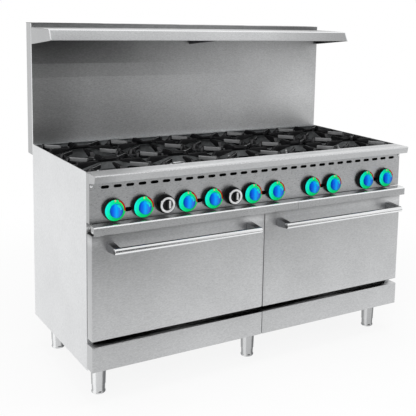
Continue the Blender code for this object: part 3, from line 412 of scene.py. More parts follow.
def castIron(name, top, side, edge):
    # sand-cast iron: a fine pebbled skin, dark on top, with painted sheen on its sides and a painted
    # highlight along its bevelled edges, by the share of the normal along Z
    finish, add, shader, place = newFinish("cast iron, sand cast, " + name, Metallic=1.0,
                                           Specular_Tint=hexColour("#585858"))
    grit = add("TexNoise", {"Vector": place, "Scale": 420.0, "Detail": 3.0})  # 2.4 mm pebbles
    patch = add("TexNoise", {"Vector": place, "Scale": 22.0, "Detail": 3.0})
    normal = add("NewGeometry").outputs["True Normal"]
    upright = add("Math ABSOLUTE", (add("SeparateXYZ", (normal,)).outputs["Z"],))
    flat = add("MapRange", (upright, 0.94, 0.97))
    slant = add("MapRange", (upright, 0.18, 0.3))
    black, grey = (add("ValToRGB", (patch,), ((0.35, low), (0.65, high))) for low, high in (top, side))
    # painted highlight along the bevels, where the normal is slanted
    sheenAndHighlight = add("Mix", {"Factor": slant, 6: grey, 7: hexColour(edge)}, **blended)
    skin = add("Mix", {"Factor": flat, 6: sheenAndHighlight, 7: black}, **blended)
    gloss = add("MapRange", (grit, 0, 1, 0.34, 0.52))
    bump = add("Bump", {"Height": grit, "Strength": 0.25, "Distance": 0.0006})
    add(shader, {"Base Color": skin, "Roughness": gloss, "Normal": bump})
    return finish


def polishedBar():
    # drawn stainless bar, polished: sharp reflections with faint lines along it, a painted dark reflection in
    # a line where it faces forward and a darker painted reflection along its top, by the share of its own
    # normal along Z
    finish, add, shader, place = newFinish("stainless bar, polished", Metallic=1.0)
    linePlace = add("Mapping", {"Vector": place, "Scale": (6.0, 260.0, 260.0)})
    line = add("TexNoise", {"Vector": linePlace, "Scale": 1.0, "Detail": 2.0})
    drawn = add("ValToRGB", (line,), ((0.3, "#E2E3E4"), (0.7, "#F6F7F8")))
    upward = add("SeparateXYZ", (add("TexCoord").outputs["Normal"],)).outputs["Z"]
    level = add("MapRange", (upward, -1.0, 1.0))
    # painted reflections: dark where the normal is level, darker where it points up
    stops = ((0.42, "#FFFFFF"), (0.45, "#747474"), (0.505, "#747474"), (0.54, "#FFFFFF"), (0.92, "#FFFFFF"),
             (0.97, "#808080"), (1.0, "#606060"))
    band = add("ValToRGB", (level,), stops)
    skin = add("Mix", {"Factor": 1.0, 6: drawn, 7: band}, **multiplied)
    gloss = add("MapRange", (line, 0, 1, 0.13, 0.22))
    add(shader, {"Base Color": skin, "Roughness": gloss})
    return finish


def galvanised():
    # hot-dip galvanised sheet: flat crystals of zinc, each a slightly different grey and duller at its edges
    finish, add, shader, place = newFinish("galvanised sheet, spangled", Metallic=0.6)
    crystal = add("TexVoronoi", {"Vector": place, "Scale": 70.0})  # 14 mm spangle
    colour = add("ValToRGB", (crystal.outputs["Color"],), ((0.1, "#9EA1A3"), (0.9, "#B9BCBE")))
    gloss = add("MapRange", (crystal, 0, 1, 0.38, 0.52))
    add(shader, {"Base Color": colour, "Roughness": gloss})
    return finish


def enamel():
    # porcelain enamel on steel: dark blue-grey glass with fine pale specks where a noise passes a threshold
    finish, add, shader, place = newFinish("porcelain enamel, fired, speckled", Roughness=0.2,
                                           Coat_Weight=0.3)
    speck = add("TexNoise", {"Vector": place, "Scale": 330.0, "Detail": 1.0})  # 3 mm specks
    add(shader, {"Base Color": add("ValToRGB", (speck,), ((0.62, "#2A2C30"), (0.74, "#8A8D92")))})
    return finish


def plainGloss(name, low, high, rough, scale, metal=0.0, shine=0.5, shadow=()):
    # a moulded or plated surface: one colour with a faint cloud in it and a little unevenness in its gloss.
    # the last argument is (hex, from y, to y), painted shade that darkens it towards the second y
    finish, add, shader, place = newFinish(name, Metallic=metal, Specular_IOR_Level=shine)
    cloud = add("TexNoise", {"Vector": place, "Scale": scale, "Detail": 3.0})
    colour = add("ValToRGB", (cloud,), ((0.3, low), (0.7, high)))
    if shadow:
        depth = add("SeparateXYZ", (place,)).outputs["Y"]
        share = add("MapRange", (depth, shadow[1], shadow[2]))
        colour = add("Mix", {"Factor": share, 6: colour, 7: hexColour(shadow[0])}, **blended)
    gloss = add("MapRange", (cloud, 0, 1, rough - 0.05, rough + 0.05))
    add(shader, {"Base Color": colour, "Roughness": gloss})
    return finish


def platedTube():
    # nickel-plated tube: a painted highlight in a band along one side, a middle tone round the front and
    # painted shade on the far side. the tone follows the share of the normal that points along "across", and
    # painted shade makes each leg further to the right a little darker
    finish, add, shader, place = newFinish("leg tube, nickel plated", Metallic=1.0)
    across = (0.83, -0.557, 0.0)
    normal = add("NewGeometry").outputs["Normal"]
    share = add("VectorMath DOT_PRODUCT", (normal, across))
    cloud = add("TexNoise", {"Vector": place, "Scale": 30.0, "Detail": 2.0})
    bent = add("Math MULTIPLY_ADD", (cloud, 0.12, share))
    level = add("MapRange", (bent, -1.0, 1.0))
    stops = ((0.0, "#A0A1A2"), (0.17, "#B4B5B6"), (0.27, "#F4F5F6"), (0.42, "#F4F5F6"), (0.5, "#D0D1D2"),
             (0.84, "#CCCDCE"), (0.93, "#7A7B7C"), (1.0, "#66676A"))
    colour = add("ValToRGB", (level,), stops)
    beside = add("SeparateXYZ", (place,)).outputs["X"]
    row = add("MapRange", (beside, -halfWidth, halfWidth))
    # painted shade by the leg's place along X
    rowShade = add("ValToRGB", (row,), ((0.05, "#FFFFFF"), (0.5, "#E6E6E6"), (0.95, "#DEDEDE")))
    skin = add("Mix", {"Factor": 1.0, 6: colour, 7: rowShade}, **multiplied)
    gloss = add("MapRange", (cloud, 0, 1, 0.18, 0.3))
    add(shader, {"Base Color": skin, "Roughness": gloss})
    return finish


def knobColours(name, rough, shine, lean, stops, mark):
    # moulded plastic in clear colours. the plan map is the piece seen from the front, 1 at its rim: the
    # tone, painted highlight and shade, runs along x + lean y, and a mark covers |r - (slope a + level)| <=
    # width, for the radius r from a shifted middle and the angle a between two limits; a dial also has a pale
    # tick at its top
    finish, add, shader, _ = newFinish("knob " + name, Roughness=rough, Specular_IOR_Level=shine)
    plan = add("UVMap", uv_map="plan")
    part = add("SeparateXYZ", (plan,)).outputs
    tone = add("Math MULTIPLY_ADD", (part["Y"], lean, part["X"]))
    colour = add("ValToRGB", (add("MapRange", (tone, -1.0, 1.0)),), stops)
    turn = add("Math ARCTAN2", (part["Y"], part["X"]))
    shifted = add("VectorMath ADD", (plan, mark["shift"]))
    radius = add("VectorMath LENGTH", (shifted,))
    line = add("Math MULTIPLY_ADD", (turn, mark["slope"], mark["level"]))
    band = add("Math COMPARE", (radius, line, mark["width"]))
    late = add("Math GREATER_THAN", (turn, mark["from"]))
    early = add("Math LESS_THAN", (turn, mark["to"]))
    span = add("Math MULTIPLY", (early, late))
    share = add("Math MULTIPLY", (band, span))
    colour = add("Mix", {"Factor": share, 6: colour, 7: hexColour(mark["tint"])}, **blended)
    if "tick" in mark:
        spots = [add("Math COMPARE", (part[axis], *mark["tick" + axis])) for axis in "XY"]
        share = add("Math MULTIPLY", spots)
        colour = add("Mix", {"Factor": share, 6: colour, 7: hexColour(mark["tick"])}, **blended)
    add(shader, {"Base Color": colour})
    return finish


# the stainless finishes below are copies of one brushed sheet whose tones differ from surface to surface by
# how light falls on each: the lighter copies are painted light and the darker ones painted shade
sideSteel = brushedSteel("brushed, side", "#DEDFE0", "#F2F3F4", 0.36, grain=streakUp)
# painted reflection and painted shade by height on the doors: lighter low down, darker level with the handle
# and darkest at the top, under the tray
doorShadeByHeight = ((0.26, "#FFFFFF"), (0.44, "#F3F3F3"), (0.58, "#E9E9E9"), (0.625, "#E8E8E8"), (0.650, "#FFFFFF"),
            (0.662, "#F4F4F4"), (0.672, "#D4D4D4"), (0.68, "#CCCCCC"))
doorSteel = brushedSteel("brushed, door", "#BCBDBE", "#D8D9DA", 0.34, 1.0, doorShadeByHeight)
panelSteel = brushedSteel("brushed, panel", "#9A9B9C", "#B8B9BA", 0.29)
# painted shade by height on the riser, darker towards the shelf above it
riserShadeByHeight = ((0.92, "#FFFFFF"), (1.05, "#FCFCFC"), (1.15, "#F0F0F0"), (1.22, "#E8E8E8"), (1.30, "#DEDEDE"),
             (1.40, "#CCCCCC"))
# painted shade and painted reflection on the riser: the shelf's shade at the upper left, darker towards the
# left end and its lower left, two thin lines of the shelf's reflection, and darker towards the right
riserShades = (("#ACACAC", -0.12, -0.62, 1.20, 1.40), ("#E2E2E2", -0.5, -0.72, 0.0, 0.1),
               ("#D8D8D8", -0.5, -0.72, 1.04, 0.94), ("#DADADA", 0.0, -0.5, 1.260, 1.264),
               ("#ECECEC", 0.6, -0.5, 1.199, 1.203), ("#DCDCDC", 0.1, 0.8, 0.0, 0.1),
               ("#E6E6E6", 0.25, 0.7, 1.10, 0.94))
riserSteel = brushedSteel("brushed, riser", "#D8D9DA", "#FDFEFF", 0.36, 0.88, riserShadeByHeight, riserShades)
# painted shade: the cap is darker towards its right end
capSteel = brushedSteel("brushed, riser cap", "#A0A1A2", "#BCBDBE", 0.36,
                        shades=(("#B4B4B4", -0.2, 0.7, 0.0, 0.1),))
# painted shade: the rail's front is darker at its left end
railSteel = brushedSteel("brushed, rail", "#B2B3B4", "#CACBCC", 0.34,
                         shades=(("#D8D8D8", -0.62, -0.77, 0.0, 0.1),))
# painted shade: the rail top is darker at its left end and a little darker towards the right
railScoured = brushedSteel("scoured by pans, rail top", "#D8D9DA", "#EAEBEC", 0.42, 0.5,
                           shades=(("#C4C4C4", -0.46, -0.7, 0.0, 0.1), ("#DCDCDC", -0.3, 0.6, 0.0, 0.1)))
noseSteel = brushedSteel("polished by hands, rail nose", "#CCCDCE", "#DCDDDE", 0.26)
# a lighter copy of the sheet for folds, noses and the shelf's end strips: painted highlight
edgeSteel = brushedSteel("bright edge", "#F0F1F2", "#FAFBFC", 0.22)
# painted shade: the shelf is darker towards its right end
shelfSteel = brushedSteel("brushed, shelf", "#C8C9CA", "#E4E5E6", 0.36,
                          shades=(("#C8C8C8", 0.1, 0.76, 0.0, 0.1),))
traySmooth = brushedSteel("smooth, tray top", "#D0D1D2", "#E0E1E2", 0.11, 0.9)
kickSteel = brushedSteel("brushed, kick", "#BABBBC", "#D6D7D8", 0.36)
# a darker copy of the sheet for the riser's returns and the rail's end caps and gussets: painted shade
returnSteel = brushedSteel("brushed, riser return", "#A6A7A8", "#C2C3C4", 0.36)
# mill-finish hidden sides and insides, darkened as painted shade
millShadeSteel = brushedSteel("mill finish", "#4E4F50", "#666768", 0.5)
topTone, sideTone = ("#4C4C4D", "#5E5E5F"), ("#48484A", "#58585A")
ironCast = castIron("blacked", topTone, sideTone, "#4A4A4B")
# fins whose sides carry a painted sheen
sheenCast = castIron("painted-sheen", topTone, ("#9C9D9E", "#B0B1B2"), "#A8A9AA")
# fins whose bevelled edges carry a painted highlight
edgeLitCast = castIron("painted-highlight edges", topTone, sideTone, "#B4B5B6")
burnerCast = castIron("burnt", ("#4E4E4F", "#5C5C5D"), ("#464648", "#545456"), "#585859")
lugCast = castIron("ground", ("#6C6D6E", "#7C7D7E"), ("#58595A", "#666768"), "#7A7B7C")
barPolish = polishedBar()
zincSheet = galvanised()
ovenEnamel = enamel()
crescent = {"shift": (0.12, 0.03, 0.0), "slope": 0.0, "level": 1.45, "width": 0.5, "from": -0.12,
            "to": 1.22, "tint": "#BC1E0C", "tick": "#E2C79A",  # red, along the right of the rim
            "tickX": (0.0, 0.065), "tickY": (0.9, 0.1)}  # middle and half size of the tick
dialFinish = knobColours("dial, moulded, green-with-painted-highlight", 0.42, 0.08, -0.25,  # green, with a painted turquoise highlight on its left
                         ((0.02, "#18FFEC"), (0.18, "#04FFC0"), (0.4, "#00FA92"), (0.7, "#00FF82"),
                          (0.98, "#00E870")), crescent)
hook = {"shift": (0.0, 0.0, 0.0), "slope": 0.2, "level": 0.56, "width": 0.16, "from": 0.32, "to": 1.55,
        "tint": "#00E4D8"}  # a painted turquoise highlight, hook-shaped, at the upper right
hubFinish = knobColours("hub, moulded, blue", 0.4, 0.15, 0.0,  # painted highlight along the grip, darker towards either side
                        ((0.0, "#0048D0"), (0.2, "#0070F4"), (0.4, "#00B0FF"), (0.52, "#009CFF"),
                         (0.72, "#3078F0"), (1.0, "#1048C4")), hook)
skirtBlack = plainGloss("phenolic, moulded, black", "#08080A", "#101011", 0.42, 60.0, 0.0, 0.2)
ringBright = plainGloss("aluminium ring, spun", "#D9DADB", "#F0F0F1", 0.32, 90.0, 0.6)
markWhite = plainGloss("index insert, moulded, white", "#D2D2D3", "#E4E4E5", 0.45, 90.0)
wireChrome = plainGloss("wire, chrome plated", "#C4C6C8", "#D6D8DA", 0.16, 40.0, 1.0)
pipeBlack = plainGloss("gas pipe, black iron", "#1E1F21", "#2B2C2E", 0.48, 55.0)
legNickel = platedTube()
tubeBright = plainGloss("pilot tube, aluminium, drawn", "#E6E7E8", "#F6F7F8", 0.3, 90.0, 0.8)
# a black sheet for places where there is only shade: painted shade
shadeBlack = plainGloss("inner sheet, painted, soot black", "#030303", "#070707", 0.8, 200.0, 0.0, 0.05)
sealGrey = plainGloss("oven seal, woven glass, grey", "#7C7C7D", "#8A8A8B", 0.7, 300.0)
sealBlack = plainGloss("oven seal, woven glass, black", "#0E0E0F", "#19191A", 0.7, 300.0)
bracketSteel = plainGloss("handle bracket, cast, satin", "#86878A", "#9A9B9D", 0.34, 120.0, 1.0)
barFront, barBack = (corner[1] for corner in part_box("door_handle_left"))
# painted shade on the tops of the handle brackets, darker towards the front
bracketDark = plainGloss("handle bracket, cast, shaded", "#DCDCDE", "#ECECEE", 0.45, 120.0, 1.0, 0.5,
                         ("#68686A", barBack, (barFront + barBack) / 2))
dotDark = plainGloss("index dot, screen printed", "#1A1A1B", "#242425", 0.5, 200.0)
print("finishes made:", len(bpy.data.materials))

dressed = {sideSteel: ("side_panel_left", "side_panel_right"), panelSteel: ("control_panel",),
           zincSheet: ("back_panel", "base_pan", "grate_support"),
           ovenEnamel: ("oven_liner_left", "oven_liner_right"),
           doorSteel: ("door_liner_left", "door_liner_right"), pipeBlack: ("gas_manifold",)}
for finish, names in dressed.items():  # a CAD solid whose shape is right keeps its mesh
    for name in names:
        nodes[name].data.materials.clear()
        nodes[name].data.materials.append(finish)

doors = {"sheet": 0.0015, "bend": 0.003, "corner": 0.003, "armInset": 0.025, "armWidth": 0.004,
    "notch": 0.002, "eye": 0.0065, "pin": 0.003, "hingeBack": 0.023, "hingeUp": 0.009, "trimWide": 0.004,
    "trimBack": 0.0035, "gasketIn": 0.006, "gasketHigh": 0.003}
sheet, bend = doors["sheet"], doors["bend"]
near = doors["armInset"] - doors["notch"]
far = doors["armInset"] + doors["armWidth"] + doors["notch"]
for hand in hands:
    low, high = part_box("door_shell_" + hand)
    hingeY = high[1] - doors["hingeBack"]
    notches = [(low[0] + near, low[0] + far), (high[0] - far, high[0] - near)]
    notchY = hingeY - doors["eye"] - doors["notch"]
    skin = foldedFront(low, high, sheet, bend, doors["corner"], notches, notchY)
    patches = [(*skin, doorSteel)]
    for start, stop in ((low[0] + sheet, low[0] + far), (high[0] - far, high[0] - sheet)):
        pin = lathe([(doors["pin"], 0), (doors["pin"], stop - start)], smallSides)
        patches.append((*placed(pin, along, (start, hingeY, low[2] + doors["hingeUp"])), barPolish))
    if hand == "left":  # edge trim behind the gap between the doors
        trimY = low[1] + doors["trimBack"]
        patches.append((*block((high[0] - sheet, trimY, low[2] + bend),
                               (high[0] + doors["trimWide"], trimY + sheet, high[2] - bend)), kickSteel))
    patches.append((*block((low[0] + bend, low[1] + doors["gasketIn"], high[2] - sheet),
                           (high[0] - bend, high[1] - sheet, high[2] + doors["gasketHigh"])), sealBlack))
    putPiece("door_skin_" + hand, patches, "door_" + hand, ["door_shell_" + hand])
    skin = foldedFront(*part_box("kick_panel_" + hand), sheet, bend, doors["corner"])
    putPiece("kick_front_" + hand, [(*skin, kickSteel)], "cabinet", ["kick_panel_" + hand])

seal = {"wide": 0.008, "front": -0.0037, "back": -0.0005, "inset": 0.0005, "foot": 0.022, "bevel": 0.0008}
front, back, wide = deep(seal["front"]), deep(seal["back"]), seal["wide"]
for hand in hands:
    low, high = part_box("door_shell_" + hand)
    left, right = low[0] + seal["inset"], high[0] - seal["inset"] - wide
    skins = (sealBlack, sealGrey) if hand == "left" else (sealGrey, sealBlack)  # grey beside the gap: painted light in the gap between the doors
    patches = [(*block((x, front, low[2] + seal["foot"]), (x + wide, back, high[2])), finish)
               for x, finish in zip((left, right), skins)]
    patches.append((*block((left + wide, front, high[2] - wide), (right, back, high[2])), sealBlack))
    putPiece("door_seal_" + hand, patches, "cabinet", bevel=seal["bevel"])
print("doors, seals and kick panels made")

handle = {"radius": 0.013, "edge": 0.002, "edgePoints": 5, "sides": 40, "bracketWidth": 0.026,
    "clear": 0.0005, "top": 0.018, "drop": 0.019, "nose": 0.0115, "rounds": (0.004, 0.009), "bevel": 0.0016}
turn = np.linspace(0, np.pi / 2, handle["edgePoints"])
cap = handle["edge"] * np.stack([np.sin(turn) - 1, 1 - np.cos(turn)], 1) + (handle["radius"], 0)
for hand in hands:
    low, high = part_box("door_handle_" + hand)
    faceY = high[1]
    barY = low[1] + handle["radius"]
    barZ = high[2] - handle["top"]
    profile = np.concatenate([cap, cap[::-1] * (1, -1) + (0, high[0] - low[0])])
    bar = placed(lathe(profile, handle["sides"]), along, (low[0], barY, barZ))
    putPiece("handle_bar_" + hand, [(*bar, barPolish)], "door_" + hand,
             ["door_handle_" + hand])
    outline = roundPath([(barY, barZ + handle["nose"]), (barY, barZ - handle["nose"]),
                         (faceY, barZ - handle["drop"]), (faceY, barZ + handle["top"])], handle["rounds"])
    blocks = []
    for x in (low[0] + handle["clear"], high[0] - handle["clear"] - handle["bracketWidth"]):
        points, (around, *ends) = prism(outline, x, x + handle["bracketWidth"])
        faces = [around[:-1], around[-1:], *ends]  # the second is the top, darkened with painted shade
        blocks.append((points, faces, (bracketSteel, bracketDark, bracketSteel, bracketSteel)))
    putPiece("handle_brackets_" + hand, blocks, "door_" + hand, bevel=handle["bevel"])
print("handles made")

rail = {"sheet": 0.0015, "height": 0.0302, "undercut": 0.0069, "panelFace": -0.0313, "back": 0.006,
    "flange": 0.0225, "ledgeDrop": 0.0298, "radii": (0.002, 0.0012, 0.0012, 0.002, 0.002), "nose": 0.0045,
    "breaks": (8, 21), "endGap": -0.0006, "gussetDeep": 0.047, "gussetHigh": 0.0078, "gussetGap": 0.0002,
    "gussetTip": 0.0008, "screw": 0.0056, "screwInset": 0.008, "screwDrop": 0.0185}
railSkin = (railSteel, noseSteel, railScoured, millShadeSteel, railSteel, railSteel)  # front, nose, top, inside; the dark inside is painted shade
low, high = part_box("front_rail")
top = high[2]
bottom = top - rail["height"]
ledge = top - rail["ledgeDrop"]
panelFace = deep(rail["panelFace"])
corners = [(panelFace, bottom), (low[1] + rail["undercut"], bottom), (low[1], top), (deep(rail["back"]), top),
           (deep(rail["back"]), ledge), (high[1], ledge)]
corners = cutCorner(corners, 2, rail["nose"])
inner, outer = halfWidth - rail["flange"], halfWidth - rail["sheet"]
path = roundPath(corners, rail["radii"])
stub = roundPath([*corners[:4], (deep(rail["endGap"]), top)], rail["radii"][:3])
endCap = np.concatenate([stub[:-1], [(panelFace, top)]])
tipY = panelFace - rail["gussetDeep"]
gusset = [(panelFace, bottom - rail["gussetGap"]), (tipY, bottom - rail["gussetGap"]),
          (tipY, bottom - rail["gussetTip"]), (panelFace, bottom - rail["gussetHigh"])]
screwProfile = np.array([(1.0, 0.0), (1.0, 0.25), (0.86, 0.5), (0.55, 0.66), (0.2, 0.72)]) * rail["screw"]
screw = lathe(screwProfile, smallSides)
patches = [(*bentSheet(path, rail["sheet"], -inner, inner, rail["breaks"]), railSkin)]
for sign in (-1, 1):
    run = sorted((sign * inner, sign * outer))
    patches.append((*bentSheet(stub, rail["sheet"], *run, rail["breaks"]), railSkin))
    run = sorted((sign * outer, sign * halfWidth))
    # the end caps and gussets in the darker return steel: painted shade
    patches += [(*prism(outline, *run), returnSteel) for outline in (endCap, gusset)]
    at = (sign * (halfWidth - rail["screwInset"]), panelFace, bottom - rail["screwDrop"])
    patches.append((*placed(screw, facing, at), ringBright))
putPiece("landing_rail", patches, "cabinet", ["front_rail"])
print("rail made")

tray = {"sheet": 0.0015, "lip": 0.0145, "tall": 0.0316, "rise": 0.0023, "run": 0.0425, "nose": 0.0042,
    "radii": (0.0025, 0.0012, 0.0012), "breaks": (8, 21), "clear": 0.012, "flange": 0.022, "seam": -0.0005,
    "floor": 0.003, "wall": 0.0281, "panCorner": 0.003, "drop": 0.003, "plug": (0.002, 0.004, 0.006, 0.036),
    "nub": 0.0048, "nubAt": (0.0236, 0.008)}
nubProfile = np.array([(1.0, 0.3), (0.92, -0.35), (0.7, -0.66), (0.3, -0.86)]) * tray["nub"]
for hand, sign in zip(hands, (1, -1)):
    low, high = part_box("crumb_tray_" + hand)
    top = low[2] + tray["tall"]
    foot = low[2] - tray["drop"]
    corners = [(low[1] + tray["lip"], foot), (low[1], foot), (low[1], top),
               (low[1] + tray["run"], top + tray["rise"])]
    path = roundPath(cutCorner(corners, 2, tray["nose"]), tray["radii"])
    # the nose in the lighter edge steel is a painted highlight; the dark hidden side, and the pan below, are
    # painted shade
    patches = [(*bentSheet(path, tray["sheet"], low[0], high[0], tray["breaks"]),
                (panelSteel, edgeSteel, traySmooth, millShadeSteel, panelSteel, panelSteel))]
    leftIn, rightIn = (tray["clear"] + tray[key] for key in ("flange", "seam")[::sign])
    patches.append((*openPan((low[0] + leftIn, low[1] + tray["sheet"] / 2, low[2] + tray["floor"]),
                             (high[0] - rightIn, high[1], low[2] + tray["wall"]),
                             tray["sheet"], tray["panCorner"]), millShadeSteel))
    end = low[0] if hand == "left" else high[0]
    inset, wide, lift, back = tray["plug"]  # plug in the channel's outer end, with a bright rivet
    x = sorted((end + sign * inset, end + sign * (inset + wide)))
    patches.append((*block((x[0], low[1] + tray["nose"], low[2] + lift),
                           (x[1], low[1] + back, top - tray["sheet"])), panelSteel))
    at = (end + sign * tray["nub"], low[1] + tray["nubAt"][0], low[2] + tray["nubAt"][1])
    patches.append((*placed(lathe(nubProfile * (1, sign), smallSides), along, at), tubeBright))
    putPiece("crumb_drawer_" + hand, patches, "tray_" + hand, ["crumb_tray_" + hand])
print("crumb trays made")

shelf = {"sheet": 0.0015, "lipSplay": 0.023, "lipDrop": 0.0447, "hem": 0.010, "flange": 0.022,
    "wallGap": 0.0003, "radii": (0.002, 0.0012, 0.0012, 0.002), "nose": 0.0042, "breaks": (8, 21),
    "seam": 0.005}
low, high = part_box("riser_shelf")
top = high[2]
sheet = shelf["sheet"]
lipZ = top - shelf["lipDrop"]
corners = [(low[1] + shelf["hem"], lipZ), (low[1], lipZ), (low[1] + shelf["lipSplay"], top), (high[1], top),
           (high[1], top - shelf["flange"])]
corners = cutCorner(corners, 2, shelf["nose"])
path = roundPath(corners, shelf["radii"])
ends = halfWidth - shelf["seam"]
# the nose in the lighter edge steel is a painted highlight, the dark hidden side painted shade
patches = [(*bentSheet(path, sheet, -ends, ends, shelf["breaks"]),
            (shelfSteel, edgeSteel, shelfSteel, millShadeSteel, shelfSteel, shelfSteel))]
for start, stop in ((-halfWidth, -ends), (ends, halfWidth)):  # a strip at each end in the lighter edge steel: painted highlight
    patches.append((*bentSheet(path, sheet, start, stop), (edgeSteel, millShadeSteel, shelfSteel, shelfSteel)))
inside = besidePath(roundPath(corners[1:5], shelf["radii"][1:3]), sheet / 2)
wallY = high[1] - shelf["wallGap"]
wedge = np.concatenate([inside[:-1], [(wallY, top - sheet / 2), (wallY, low[2])]])
# the left end wedge in the darker panel steel and the others, with their flanges, in the dark inside steel:
# painted shade
wedges = ((-halfWidth, 1, panelSteel), (-sheet / 2, 1, millShadeSteel), (halfWidth - sheet, -1, millShadeSteel))
for start, reach, finish in wedges:
    patches.append((*prism(wedge, start, start + sheet), finish))
    edge = start if reach > 0 else start + sheet
    x = sorted((edge + reach * sheet / 4, edge + reach * shelf["flange"]))
    patches.append((*block((x[0], high[1] - sheet, low[2] + sheet), (x[1], high[1], top - sheet)), millShadeSteel))
putPiece("shelf", patches, "cabinet", ["riser_shelf"])

riser = {"sheet": 0.0015, "bend": 0.003, "returnDeep": 0.040, "step": 0.0008, "slots": 4,
    "slotMargin": 0.081, "slotWide": 0.032, "capTuck": 0.006, "seam": 0.0022, "breaks": (1, 5, 10, 14)}
capFoot = high[2] - riser["capTuck"]
low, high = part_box("riser")
sheet = riser["sheet"]
standing = [2, 1, 0]  # a sheet drawn out along X stands up: X becomes Z and Z becomes X
seamY = low[1] + riser["returnDeep"]
front = roundPath([(seamY, low[0]), (low[1], low[0]), (low[1], high[0]), (seamY, high[0])], riser["bend"])
patches = []
for start, stop, finish in ((low[2], capFoot, riserSteel), (capFoot, high[2] - sheet, capSteel)):
    points, faces = bentSheet(front, sheet, start, stop, riser["breaks"])
    skin = (returnSteel, edgeSteel, finish, edgeSteel, returnSteel, finish, finish, finish)  # painted highlights on the folds, painted shade on the returns
    patches.append((points[:, standing], faces, skin))
rearLow, rearHigh = low[0] + riser["step"], high[0] - riser["step"]
seamY = seamY + riser["seam"]
rear = [(seamY, rearHigh), (high[1], rearHigh), (high[1], rearLow), (seamY, rearLow)]
points, faces = bentSheet(roundPath(rear, riser["bend"]), sheet, low[2], high[2] - sheet)
patches.append((points[:, standing], faces, capSteel))
bays = np.linspace(low[0], high[0], riser["slots"] + 1)
for left, right in zip(bays[:-1], bays[1:]):
    slot = (right - left - riser["slotMargin"], riser["slotWide"])
    plate = slottedTop(left, right, low[1], high[1], *slot, high[2] - sheet, high[2])
    patches.append((*plate, riserSteel))
putPiece("flue_riser", patches, "cabinet", ["riser"])
print("riser and shelf made")

knob = {"dial": 0.0411, "hub": 0.0240, "gap": 0.0006, "hubTall": 1.08, "grip": 0.0022, "gripWide": 0.0058,
    "sides": 72,
    "skirtProfile": ((0.0398, 0.0006), (0.0420, 0.0010), (0.0426, 0.0022), (0.0424, 0.0140),
        (0.0418, 0.0156), (0.0413, 0.0164), (0.0412, 0.0188), (0.0408, 0.0198)),
    "dialProfile": ((0.0406, 0.0190), (0.0407, 0.0202), (0.0394, 0.0207), (0.0355, 0.0213), (0.031, 0.0223),
        (0.0268, 0.0240), (0.0246, 0.0255)),
    "hubProfile": ((0.0250, 0.0225), (0.0246, 0.0256), (0.0241, 0.0330)), "domeFoot": 0.0362, "dome": 0.0063,
    "domePoints": 12}


def knobFoot(name):
    # the point where a knob's axis meets the panel, a gap behind the knob's box
    x, _, z = middleOf(name)
    return x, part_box(name)[1][1] + knob["gap"], z


rise = np.linspace(0, np.pi / 2, knob["domePoints"])[:-1]
dome = np.stack([knob["hub"] * np.cos(rise), knob["domeFoot"] + knob["dome"] * np.sin(rise)], 1)
skirt, dial = (lathe(knob[key], knob["sides"]) for key in ("skirtProfile", "dialProfile"))
hub = lathe(np.concatenate([knob["hubProfile"], dome]), knob["sides"])
hubPlan = hub[0][:, :2] / knob["hub"]
inside = np.sqrt(np.clip(1 - (hubPlan ** 2).sum(1), 0, 1))
hub[0][:, 2] += knob["grip"] * np.exp(-(hub[0][:, 0] / knob["gripWide"]) ** 2) * inside  # raised grip
hub[0][:, 1] *= knob["hubTall"]
for number in burnerKnobs:
    name = "burner_knob_%d" % number
    at = knobFoot(name)
    patches = [(*placed(skirt, facing, at), skirtBlack)]
    patches.append((*placed(dial, facing, at), dialFinish, dial[0][:, :2] / knob["dial"]))
    patches.append((*placed(hub, facing, at), hubFinish, hubPlan))
    putPiece("burner_dial_%d" % number, patches, "dial_%d" % number, [name])

thermostat = {"ring": 0.0267, "sides": 72, "foot": 0.0280, "grip": (0.0042, 0.0183), "gripRound": 0.003,
    "roundSteps": 4, "gripTop": 0.0332, "mark": (0.0044, 0.0155), "markShift": 0.0108, "markRound": 0.002,
    "markTop": 0.0300, "bump": 0.0042, "bumpAt": (-0.0262, 0.0155, 0.0332), "bumpSides": 20,
    "bumpProfile": ((1.0, 0.0), (0.92, 0.35), (0.7, 0.66), (0.3, 0.86)),
    "body": ((0.0345, 0.0006), (0.0366, 0.0010), (0.0370, 0.0024), (0.0370, 0.0140), (0.0364, 0.0156),
        (0.0338, 0.0320), (0.0330, 0.0330), (0.0318, 0.0332), (0.0310, 0.0276)),
    "sunk": ((0.0225, 0.0270), (0.0225, 0.0282)),
    "ringSection": ((-0.0046, 0.0276), (0.0042, 0.0276), (0.0046, 0.0324), (0.0040, 0.0338),
        (0.0028, 0.0345), (-0.0028, 0.0345), (-0.0040, 0.0338), (-0.0046, 0.0325))}
ringPath = np.insert(circle(thermostat["ring"], thermostat["sides"]), 2, 0, 1)
shapes = [(lathe(thermostat[key], thermostat["sides"]), skirtBlack) for key in ("body", "sunk")]
shapes.append((carried(ringPath, thermostat["ringSection"], True), ringBright))
for key, shift, finish in (("grip", 0, skirtBlack), ("mark", thermostat["markShift"], markWhite)):
    half, reach = thermostat[key]
    outline = roundedOutline((shift - half, -reach), (shift + half, reach), thermostat[key + "Round"],
                             thermostat["roundSteps"])
    points, faces = prism(outline, thermostat["foot"], thermostat[key + "Top"])
    shapes.append(((points[:, [1, 2, 0]], faces), finish))
points, faces = lathe(thermostat["bumpProfile"], thermostat["bumpSides"])
shapes.append(((points * thermostat["bump"] + thermostat["bumpAt"], faces), ringBright))
for number in (1, 2):
    name = "oven_knob_%d" % number
    patches = [(*placed(shape, facing, knobFoot(name)), finish) for shape, finish in shapes]
    putPiece("oven_dial_%d" % number, patches, "thermostat_%d" % number, [name])

